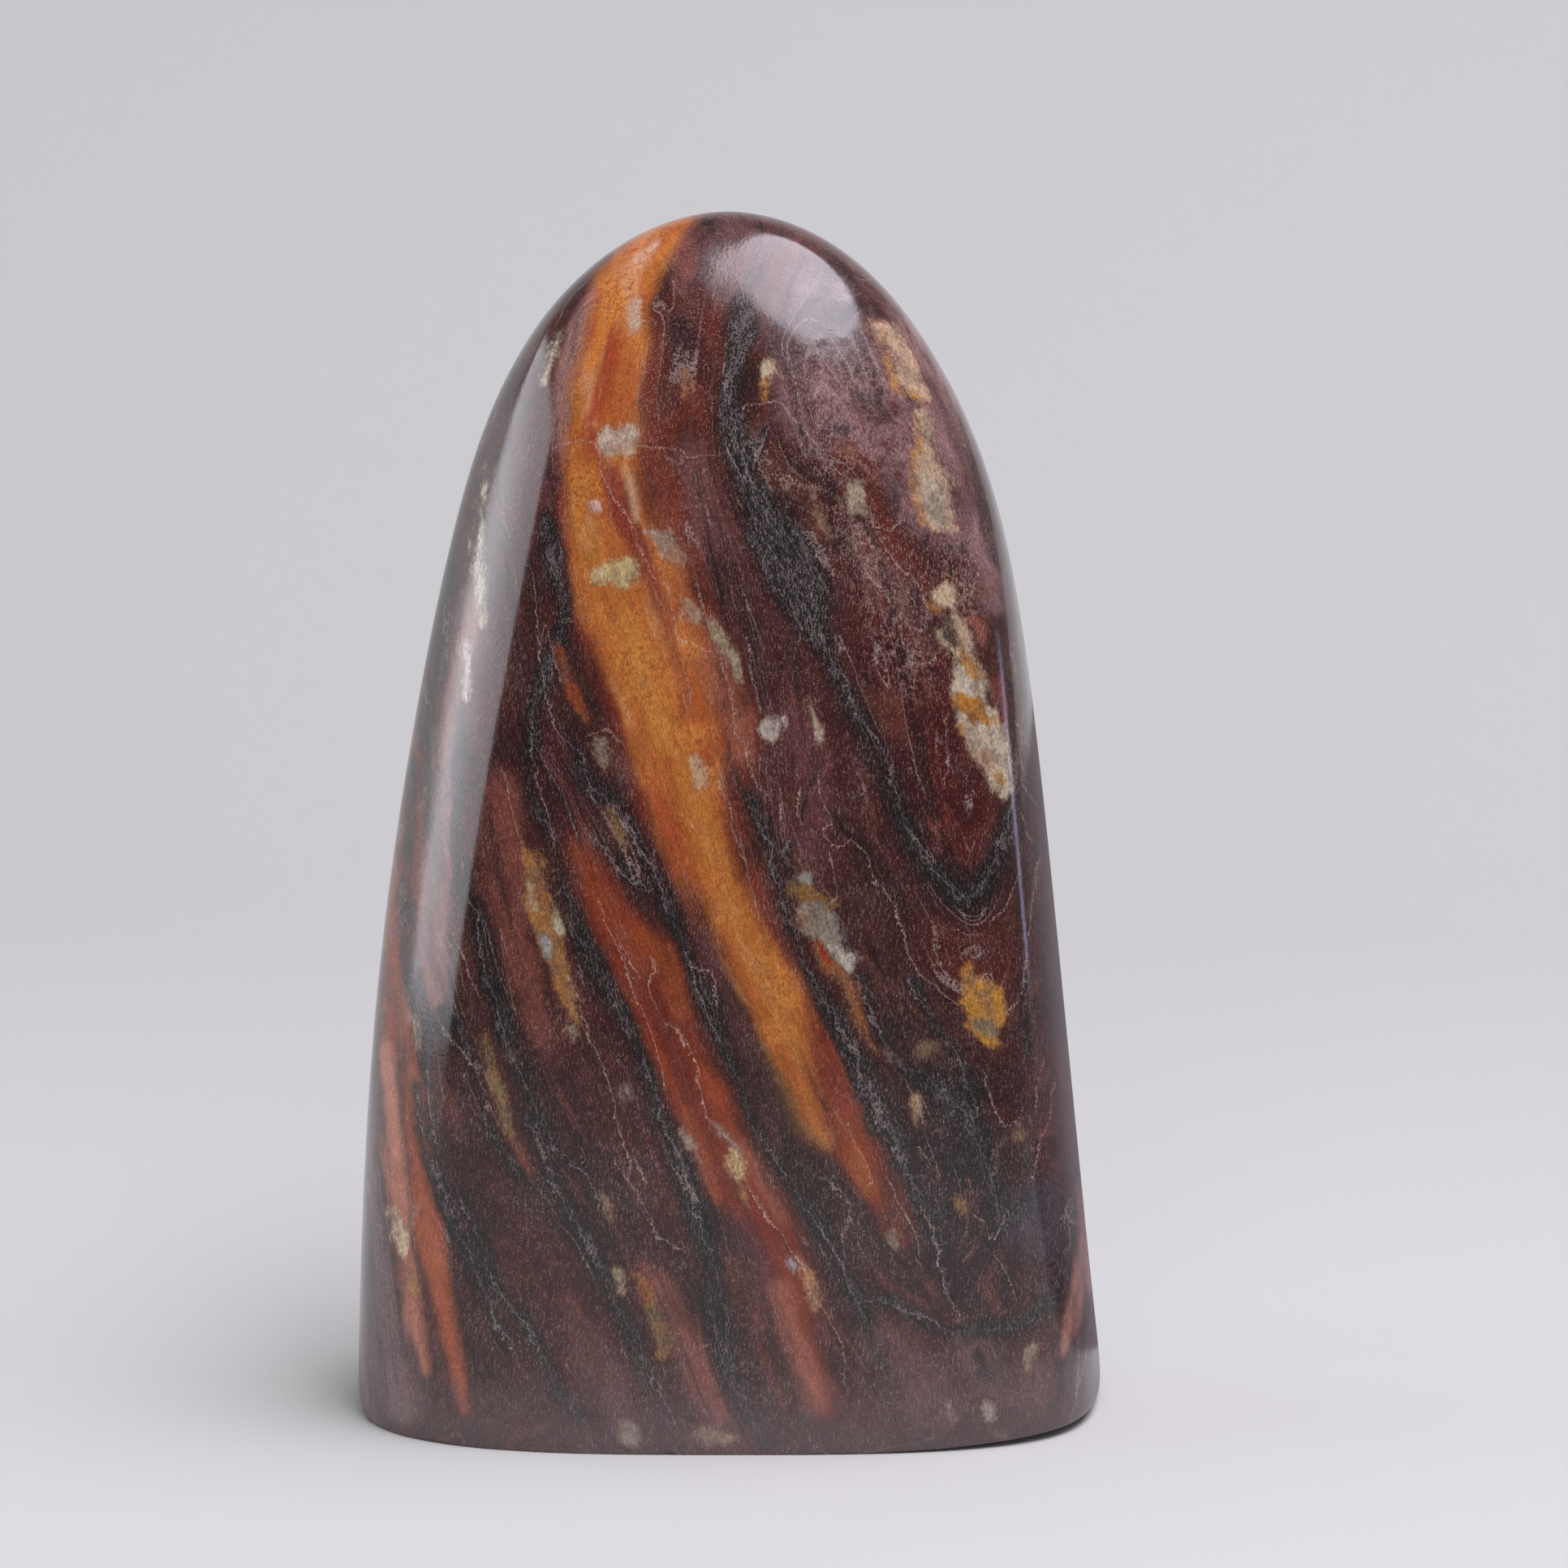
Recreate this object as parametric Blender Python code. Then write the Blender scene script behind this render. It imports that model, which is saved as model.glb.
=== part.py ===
"""Jasper freeform: one polished standing stone with an arched outline and a flat lapped foot.

Metres, +Z up. The broad front faces -Y, and the origin is on the table, under the middle of the
stone's box.

The whole stone is one closed form, made as a lapidary makes it. A tapered column with a rounded
oblong plan closes in a round arch. Five broad faces are then ground on it, each a leaning plane
that runs out where the column falls inside it, and the edges between them are polished over. The
foot is lapped flat, apart from a strip at the right where the underside lifts a little.
"""

import math

import bmesh
import bpy

# The stone as a whole
HEIGHT = 0.1261
HALF_WIDTH = 0.0405
DEPTH_IN_FRONT = 0.0243
DEPTH_BEHIND = 0.0246

# How the column draws in for each metre of height, its slight swell, and how late its arch closes
SIDE_TAPER = 0.078
DEPTH_TAPER = 0.052
SIDE_SWELL = 0.0011
ARCH = 4.9

# The column's plan is a superellipse: its exponent is 2 for an oval and more for an oblong
PLAN_SQUARENESS = 2.66

# The axis isn't quite upright: it bows to the left and its top leans left and away from the front
BOW_LEFT = 0.0012
TOP_LEFT = 0.0009
TOP_BACK = 0.0022

# The ground faces: the way each one looks in plan, its distance from the axis at the table, and
# how much nearer it comes for each metre of height
GROUND_FACES = {
    "front": ((0.0, -1.0), 0.0245, 0.090),
    "front left": ((-0.895, -0.445), 0.0446, 0.210),
    "right": ((0.982, -0.190), 0.0396, 0.088),
    "back": ((0.120, 0.993), 0.0262, 0.100),
    "back left": ((-0.750, 0.661), 0.0368, 0.110),
}

# How tight the polished-over edges are: a higher power is a sharper edge
EDGE_POWER = 16

# The foot: its last few millimetres tuck in under a soft edge
TUCK = 0.0006
TUCK_HEIGHT = 0.0026

# The underside lifts off the table towards the right, and the lift fades out up the side
LIFT_FROM_X = 0.005
LIFT = 0.0014
LIFT_FADE = 0.015

# The mesh: cells across, front to back and up, and the cap's share of the plan's radius
CELLS_ACROSS = 20
CELLS_DEEP = 14
CELLS_UP = 32
CAP_RADIUS = 0.62
ROW_CROWDING = 1.3

JASPER_BROWN = (0.105, 0.035, 0.026, 1.0)
POLISHED_ROUGHNESS = 0.14


def clear_scene():
    for obj in list(bpy.data.objects):
        bpy.data.objects.remove(obj, do_unlink=True)


def disc_from_square(u, v):
    """Takes a point of the square from -1 to 1 to the unit disc, edge to edge."""
    return u * math.sqrt(1 - v * v / 2), v * math.sqrt(1 - u * u / 2)


def column_reach(across, deep, z, closing):
    """How far the unground column reaches from its axis at height z in a plan direction."""
    tuck = TUCK * max(0.0, 1 - z / TUCK_HEIGHT) ** 2
    swell = SIDE_SWELL * math.sin(math.pi * z / HEIGHT)
    half_width = HALF_WIDTH - SIDE_TAPER * z + swell - tuck
    half_depth = (DEPTH_IN_FRONT if deep < 0 else DEPTH_BEHIND) - DEPTH_TAPER * z - tuck
    share = abs(across / half_width) ** PLAN_SQUARENESS + abs(deep / half_depth) ** PLAN_SQUARENESS
    return closing / share ** (1 / PLAN_SQUARENESS)


def skin_reach(across, deep, z, closing):
    """The same reach once the faces are ground on, with every edge polished over."""
    total = column_reach(across, deep, z, closing) ** -EDGE_POWER
    for (face_across, face_deep), distance, lean in GROUND_FACES.values():
        facing = across * face_across + deep * face_deep
        if facing > 0:
            total += (facing / (distance - lean * z)) ** EDGE_POWER
    return total ** (-1 / EDGE_POWER)


def side_height(share):
    """Height of a row of the side, 0 at the foot and 1 at the cap, with the rows closer low down."""
    top = HEIGHT * (1 - CAP_RADIUS ** 2) ** (1 / ARCH)
    return top * share ** ROW_CROWDING


def place(u, v, w):
    """Takes a point of the box, from -1 to 1 in plan and 0 to 1 in height, to the stone."""
    across, deep = disc_from_square(u, v)
    radius = math.hypot(across, deep)
    if w >= 1:
        closing = CAP_RADIUS * radius
        z = HEIGHT * (1 - closing ** 2) ** (1 / ARCH)
        along = 1.0
    else:
        z = side_height(w)
        closing = math.sqrt(1 - (z / HEIGHT) ** ARCH)
        along = radius
    x = y = 0.0
    if radius > 1e-6:
        across, deep = across / radius, deep / radius
        reach = along * skin_reach(across, deep, z, closing)
        x, y = reach * across, reach * deep
    share = z / HEIGHT
    x -= BOW_LEFT * math.sin(math.pi * share) + TOP_LEFT * share
    y += TOP_BACK * share ** 2
    towards_right = max(0.0, (x - LIFT_FROM_X) / (HALF_WIDTH - LIFT_FROM_X))
    return x, y, z + LIFT * towards_right ** 2 * max(0.0, 1 - z / LIFT_FADE)


def ruled_box():
    """A box from -1 to 1 in plan and 0 to 1 in height, ruled into the stone's cells."""
    bm = bmesh.new()
    bmesh.ops.create_cube(bm, size=2.0)
    for axis, cells in enumerate((CELLS_ACROSS, CELLS_DEEP, CELLS_UP)):
        normal = [float(axis == other) for other in range(3)]
        for cut in range(1, cells):
            where = [(2 * cut / cells - 1) * step for step in normal]
            everything = bm.verts[:] + bm.edges[:] + bm.faces[:]
            bmesh.ops.bisect_plane(bm, geom=everything, plane_co=where, plane_no=normal)
    for vert in bm.verts:
        vert.co.z = (vert.co.z + 1) / 2
    return bm


def centre_on_origin(bm):
    """Moves the stone in plan until its box is centred on the origin."""
    for axis in range(2):
        places = [vert.co[axis] for vert in bm.verts]
        middle = (min(places) + max(places)) / 2
        for vert in bm.verts:
            vert.co[axis] -= middle


def make_jasper():
    material = bpy.data.materials.new("polished jasper")
    material.diffuse_color = JASPER_BROWN
    material.use_nodes = True
    shader = material.node_tree.nodes["Principled BSDF"]
    shader.inputs["Base Color"].default_value = JASPER_BROWN
    shader.inputs["Roughness"].default_value = POLISHED_ROUGHNESS
    return material


def make_stone(collection):
    bm = ruled_box()
    for vert in bm.verts:
        vert.co = place(*vert.co)
    centre_on_origin(bm)
    bmesh.ops.recalc_face_normals(bm, faces=bm.faces[:])
    mesh = bpy.data.meshes.new("stone")
    bm.to_mesh(mesh)
    bm.free()
    mesh.materials.append(make_jasper())
    mesh.shade_smooth()
    mesh.set_sharp_from_angle(angle=math.radians(40))
    stone = bpy.data.objects.new("stone", mesh)
    collection.objects.link(stone)
    return stone


def main():
    clear_scene()
    collection = bpy.data.collections.new("jasper freeform")
    bpy.context.scene.collection.children.link(collection)
    make_stone(collection)


main()
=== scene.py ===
"""Jasper freeform: a polished standing stone of banded jasper, dressed round its CAD solid."""
import math

import bpy
import numpy as np
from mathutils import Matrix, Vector, noise


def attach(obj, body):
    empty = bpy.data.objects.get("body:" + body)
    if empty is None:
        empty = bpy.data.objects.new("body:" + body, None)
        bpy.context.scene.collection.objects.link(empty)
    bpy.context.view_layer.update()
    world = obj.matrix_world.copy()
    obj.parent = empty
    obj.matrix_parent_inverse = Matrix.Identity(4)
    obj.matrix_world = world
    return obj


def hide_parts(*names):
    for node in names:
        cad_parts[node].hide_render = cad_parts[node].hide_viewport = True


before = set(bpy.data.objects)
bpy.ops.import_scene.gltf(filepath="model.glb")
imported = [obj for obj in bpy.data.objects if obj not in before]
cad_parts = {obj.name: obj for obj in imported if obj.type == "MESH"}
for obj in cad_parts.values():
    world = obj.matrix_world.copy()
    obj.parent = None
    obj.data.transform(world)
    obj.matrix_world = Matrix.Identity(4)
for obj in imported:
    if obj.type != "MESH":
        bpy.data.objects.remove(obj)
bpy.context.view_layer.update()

bpy.ops.object.select_all(action="DESELECT")

# The camera, a long lens a little above the stone and square on to its broad front. The stone's
# markings are given below as this camera sees them, so its place is settled first.
CAMERA_DISTANCE = 0.65
CAMERA_RISE = math.radians(8)
FOCAL_PIXELS = 7644
PICTURE_SIDE = 1932
SENSOR_MM = 36
AIM = Vector((0.00565, -0.00045, 0.0663))

camera_data = bpy.data.cameras.new("camera")
camera_data.sensor_width = SENSOR_MM
camera_data.lens = SENSOR_MM * FOCAL_PIXELS / PICTURE_SIDE
camera = bpy.data.objects.new("camera", camera_data)
bpy.context.scene.collection.objects.link(camera)
view_right = Vector((1, 0, 0))
view_ahead = Vector((0, math.cos(CAMERA_RISE), -math.sin(CAMERA_RISE)))
view_up = view_right.cross(view_ahead)
camera.location = AIM - CAMERA_DISTANCE * view_ahead
camera.rotation_euler = (math.pi / 2 - CAMERA_RISE, 0, 0)
bpy.context.scene.camera = camera

# The stone, one block of banded jasper, ground to a leaning arch, lapped flat below and brought to a
# high polish. Its form is the CAD solid's, with the facets merged and rounded to the skin that the
# last polishing wheel leaves, and the faces that turn well towards the camera split once more. That
# keeps the whole skin under 200,000 triangles.
FINE_LEVELS = 2
FOOT_EDGE_ANGLE = math.radians(35)
FOOT_EDGE_CREASE = 0.75
QUAD_ANGLE = math.radians(30)
DOUBLES = 1e-6
SHOWS_BEYOND = 0.14

cad_stone = bpy.data.objects["stone"]
stone = bpy.data.objects.new("polished_stone", cad_stone.data.copy())
bpy.context.scene.collection.objects.link(stone)
stone.select_set(True)
bpy.context.view_layer.objects.active = stone
bpy.ops.object.mode_set(mode="EDIT")
bpy.ops.mesh.select_all(action="SELECT")
bpy.ops.mesh.remove_doubles(threshold=DOUBLES)
bpy.ops.mesh.tris_convert_to_quads(face_threshold=QUAD_ANGLE, shape_threshold=math.pi)
bpy.ops.mesh.select_all(action="DESELECT")
bpy.ops.mesh.edges_select_sharp(sharpness=FOOT_EDGE_ANGLE)
bpy.ops.transform.edge_crease(value=FOOT_EDGE_CREASE)
bpy.ops.object.mode_set(mode="OBJECT")
skin = stone.modifiers.new("skin", "SUBSURF")
skin.levels = skin.render_levels = FINE_LEVELS
bpy.ops.object.modifier_apply(modifier=skin.name)

bpy.ops.object.mode_set(mode="EDIT")
bpy.ops.mesh.select_mode(type="FACE")
bpy.ops.mesh.select_all(action="DESELECT")
bpy.ops.object.mode_set(mode="OBJECT")
for face in stone.data.polygons:
    face.select = face.normal.dot(view_ahead) < -SHOWS_BEYOND
bpy.ops.object.mode_set(mode="EDIT")
bpy.ops.mesh.subdivide(number_cuts=1, smoothness=1.0, ngon=False)
bpy.ops.object.mode_set(mode="OBJECT")
bpy.ops.object.shade_smooth()

# Where each point of the skin lies on the photograph, in its own pixels. On the far side the same
# sheets of rock come out again, so a point there reads the pattern from nearer the middle, lower
# down and bent about.
PIXELS_A_MM = FOCAL_PIXELS / CAMERA_DISTANCE / 1000
MIDDLE = PICTURE_SIDE / 2
WANDER_SEED = 1
WANDERS = ((2.6, 0.0035), (1.3, 0.0011))
BACK_WANDER = 46.0
BACK_WANDER_LENGTH = 0.024
BACK_CENTRE = 880
BACK_DRAWN_IN = 0.25
BACK_SHIFT = (60, 80)
TURNED_AWAY = 0.4

skin_mesh = stone.data
vertex_count = len(skin_mesh.vertices)
places = np.empty(vertex_count * 3)
skin_mesh.vertices.foreach_get("co", places)
places = places.reshape(-1, 3)
normals = np.empty(vertex_count * 3)
skin_mesh.vertices.foreach_get("normal", normals)
normals = normals.reshape(-1, 3)


def smooth(values, low, high):
    """A soft step from 0 at low to 1 at high."""
    t = np.clip((values - low) / (high - low), 0, 1)
    return t * t * (3 - 2 * t)


def bent(length, offset):
    """A smooth random vector for each point of the skin, in waves of about this length."""
    return np.array([noise.noise_vector(Vector(place) / length + offset) for place in places])


# Without a seed of its own, this noise would start from the clock and differ in every run.
noise.seed_set(WANDER_SEED)
from_eye = places - np.array(camera.location)
ahead = from_eye @ np.array(view_ahead)
across = MIDDLE + FOCAL_PIXELS * (from_eye @ np.array(view_right)) / ahead
down = MIDDLE - FOCAL_PIXELS * (from_eye @ np.array(view_up)) / ahead
hidden = np.clip(normals @ np.array(view_ahead), 0, 1)
far_bend = bent(BACK_WANDER_LENGTH, Vector((3, 7, 1)))
turned = smooth(hidden, 0, TURNED_AWAY)
drawn_in = BACK_DRAWN_IN * (across - BACK_CENTRE)
across += turned * (BACK_SHIFT[0] - drawn_in + BACK_WANDER * far_bend[:, 0])
down += turned * (BACK_SHIFT[1] + BACK_WANDER * far_bend[:, 1])
for amount, length in WANDERS:
    wander = bent(length, Vector((0, 0, 0)))
    across += amount * wander[:, 0]
    down += amount * wander[:, 1]


def through(points, closed=False):
    """Rounds off a given run of points: three more between each two, on a smooth curve."""
    points = np.array(points, dtype=float)
    if closed:
        padded = np.vstack((points[-1:], points, points[:2]))
    else:
        padded = np.vstack((2 * points[:1] - points[1:2], points, 2 * points[-1:] - points[-2:-1]))
    spans = []
    for before, start, end, after in zip(padded, padded[1:], padded[2:], padded[3:]):
        for t in (0, 0.25, 0.5, 0.75):
            spans.append(0.5 * (2 * start + (end - before) * t
                                + (2 * before - 5 * start + 4 * end - after) * t ** 2
                                + (3 * start - before - 3 * end + after) * t ** 3))
    if not closed:
        spans.append(points[-1])
    return np.array(spans)


def nearby(curve, margin):
    """The points of the skin that lie within a margin of a curve's own box."""
    low = curve[:, :2].min(axis=0) - margin
    high = curve[:, :2].max(axis=0) + margin
    return np.nonzero((across > low[0]) & (across < high[0]) & (down > low[1]) & (down < high[1]))[0]


def depth_inside(points, margin=70.0):
    """How deep each point of the skin lies inside a marking, in pixels, and below 0 outside it.

    Points of three numbers are a run: its middle and its half width. Points of two numbers are an
    outline.
    """
    outline = len(points[0]) == 2
    curve = through(points, closed=outline)
    result = np.full(vertex_count, -1e3)
    chosen = nearby(curve, margin)
    x, y = across[chosen], down[chosen]
    best = np.full(len(chosen), -1e3)
    inside = np.zeros(len(chosen), dtype=bool)
    ends = np.roll(curve, -1, axis=0) if outline else curve[1:]
    for start, end in zip(curve, ends):
        along = end[:2] - start[:2]
        length = max(along @ along, 1e-9)
        t = np.clip(((x - start[0]) * along[0] + (y - start[1]) * along[1]) / length, 0, 1)
        away = np.hypot(x - start[0] - t * along[0], y - start[1] - t * along[1])
        half_width = 0 if outline else start[2] + t * (end[2] - start[2])
        best = np.maximum(best, half_width - away)
        if outline and start[1] != end[1]:
            crosses = (start[1] > y) != (end[1] > y)
            inside ^= crosses & (x < start[0] + along[0] * (y - start[1]) / along[1])
    result[chosen] = np.where(inside, -best, best) if outline else best
    return result


def side_of(points, margin=60.0):
    """Distance from a line in pixels, above 0 on its right going down, and the plain distance."""
    curve = through([(*point, 0) for point in points])
    signed = np.full(vertex_count, 1e3)
    chosen = nearby(curve, margin)
    x, y = across[chosen], down[chosen]
    best = np.full(len(chosen), 1e3)
    side = np.ones(len(chosen))
    for start, end in zip(curve, curve[1:]):
        along = end[:2] - start[:2]
        length = max(along @ along, 1e-9)
        t = np.clip(((x - start[0]) * along[0] + (y - start[1]) * along[1]) / length, 0, 1)
        away = np.hypot(x - start[0] - t * along[0], y - start[1] - t * along[1])
        cross = along[1] * (x - start[0]) - along[0] * (y - start[1])
        nearer = away < best
        best[nearer] = away[nearer]
        side[nearer] = np.where(cross[nearer] >= 0, 1, -1)
    signed[chosen] = side * best
    return signed


def linear(colour):
    """An sRGB hex colour as linear red, green and blue."""
    parts = [int(colour[i:i + 2], 16) / 255 for i in (0, 2, 4)]
    return np.array([part / 12.92 if part <= 0.04045 else ((part + 0.055) / 1.055) ** 2.4
                     for part in parts])


# The lie of the sheets. Each line follows one sheet down the stone, and its number is how far that
# sheet is through the stack, in millimetres. Grain and fibres run along the sheets.
SHEETS = {
    -33: [(470, 1250), (473, 1365), (500, 1614), (515, 1760)],
    -29: [(526, 1403), (553, 1480), (572, 1529), (607, 1594), (626, 1644), (660, 1700)],
    -25: [(520, 1150), (561, 1266), (599, 1384), (660, 1464), (725, 1533), (771, 1633), (836, 1774)],
    -21: [(560, 1000), (580, 1100), (614, 1236), (653, 1327), (710, 1426)],
    -12: [(600, 700), (614, 899), (653, 976), (683, 1083), (729, 1186), (783, 1289), (817, 1395),
        (855, 1480), (894, 1594), (901, 1671), (947, 1774)],
    -2: [(640, 600), (664, 777), (691, 884), (733, 949), (783, 1025), (829, 1132), (871, 1243), (915, 1340),
        (968, 1450), (1041, 1600), (1102, 1694)],
    1: [(735, 395), (703, 520), (712, 690), (762, 850), (808, 1000), (862, 1130), (928, 1250), (985, 1370),
        (1060, 1466)],
    7: [(800, 400), (787, 540), (820, 700), (860, 850), (900, 1000), (940, 1130), (990, 1240), (1050, 1360),
        (1105, 1500)],
    10: [(880, 300), (850, 520), (860, 640), (920, 880), (945, 1064), (1014, 1247), (1106, 1422),
        (1156, 1510)],
    19: [(1018, 1006), (1045, 1041), (1083, 1083), (1114, 1148), (1152, 1217), (1210, 1245), (1244, 1240),
        (1271, 1167), (1286, 1067)],
    23: [(905, 400), (897, 500), (925, 605), (1000, 730), (1041, 852), (1092, 960), (1129, 1045),
        (1187, 1125), (1217, 1113), (1252, 1025), (1266, 880), (1255, 800)],
    26: [(950, 456), (985, 560), (1056, 606), (1110, 780), (1150, 940), (1190, 1060), (1220, 1010),
        (1245, 880)],
    30: [(1079, 403), (1129, 525), (1160, 648), (1160, 736), (1200, 880), (1225, 950)],
}
WHOLE_STONE = 2000.0
SHEET_BLUR = 4
SHEET_PULL = 2.5
pull = np.zeros(vertex_count)
layer = np.zeros(vertex_count)
for level, points in SHEETS.items():
    side = side_of(points, margin=WHOLE_STONE)
    weight = 1 / (np.abs(side) + SHEET_BLUR) ** SHEET_PULL
    pull += weight
    layer += weight * (level + side / PIXELS_A_MM)
layer /= pull

# The borders between colours fray out along the sheets, in broad tongues and in fine ones. Each is
# its reach in pixels, and its width and length in millimetres.
FRINGES = ((9.0, 2.0, 17.0), (5.0, 0.8, 7.0))
for point, (place_x, place_y, place_z) in enumerate(places * 1000):
    for reach, width, length in FRINGES:
        where = Vector((layer[point] / width, place_z / length, place_y / length))
        across[point] += reach * noise.noise(where)


# Every tone of the stone is written as the eye meets it on the lit piece. The sheen that the polish
# lays over it, and the strength of the light, are taken off here.
SHEEN = 0.012
LIGHT_ON_STONE = 1.13
DARKEST = 0.004


def rock(colour):
    """The bare colour of a tone that is written as the eye meets it."""
    return np.maximum(linear(colour) - SHEEN, DARKEST) / LIGHT_ON_STONE


# The ground of the stone: broad soft stains of iron in brown jasper, laid one over another, and among
# them a few washes of painted highlight and painted reflection, each marked where it stands. Each is
# its colour, how soft its edge is and how strong it is, and its outline or run.
GROUND = "4A2926"
OCHRE_BAND = [
    (735, 340), (765, 305), (805, 275), (850, 264), (858, 272), (835, 310), (815, 345), (800, 385),
    (796, 430), (784, 480), (787, 540), (788, 590), (805, 640), (830, 690), (842, 740), (862, 790),
    (874, 850), (884, 910), (888, 970), (897, 1030), (913, 1085), (940, 1150), (974, 1200), (991, 1238),
    (1000, 1275), (1001, 1310), (1011, 1350), (1021, 1388), (1024, 1413), (1006, 1412), (982, 1388),
    (964, 1352), (946, 1305), (925, 1255), (903, 1205), (884, 1152), (860, 1100), (824, 1050), (800, 990),
    (773, 920), (748, 850), (722, 770), (704, 690), (700, 600), (702, 520), (706, 460), (722, 395)
]
RUST_BAND = [
    (703, 1032), (728, 1042), (750, 1072), (772, 1112), (800, 1136), (826, 1160), (845, 1205), (858, 1255),
    (878, 1305), (908, 1350), (926, 1400), (946, 1450), (985, 1505), (998, 1560), (1006, 1640),
    (1030, 1740), (1000, 1740), (972, 1660), (948, 1590), (918, 1530), (886, 1490), (866, 1450),
    (848, 1400), (822, 1345), (794, 1290), (768, 1240), (742, 1180), (718, 1110)
]
BURNT_SEAM = [(748, 580, 9), (760, 610, 13), (776, 650, 18), (792, 690, 17), (808, 730, 14), (824, 780, 9),
              (838, 830, 7), (850, 880, 6)]
RED_TAIL = [
    (1001, 1262, 5), (1018, 1305, 14), (1034, 1350, 19), (1050, 1398, 24), (1068, 1444, 23),
    (1088, 1484, 11)
]
SALMON_SHEETS = (
    [(476, 1290, 7), (482, 1360, 11), (487, 1430, 15), (492, 1500, 15), (502, 1570, 13),
        (512, 1640, 10), (522, 1690, 6)],
    [(488, 1180, 4), (496, 1250, 7), (504, 1310, 9), (513, 1370, 14), (520, 1440, 18), (529, 1500, 20),
        (540, 1570, 16), (552, 1640, 12), (565, 1700, 8), (574, 1740, 4)],
)
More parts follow.
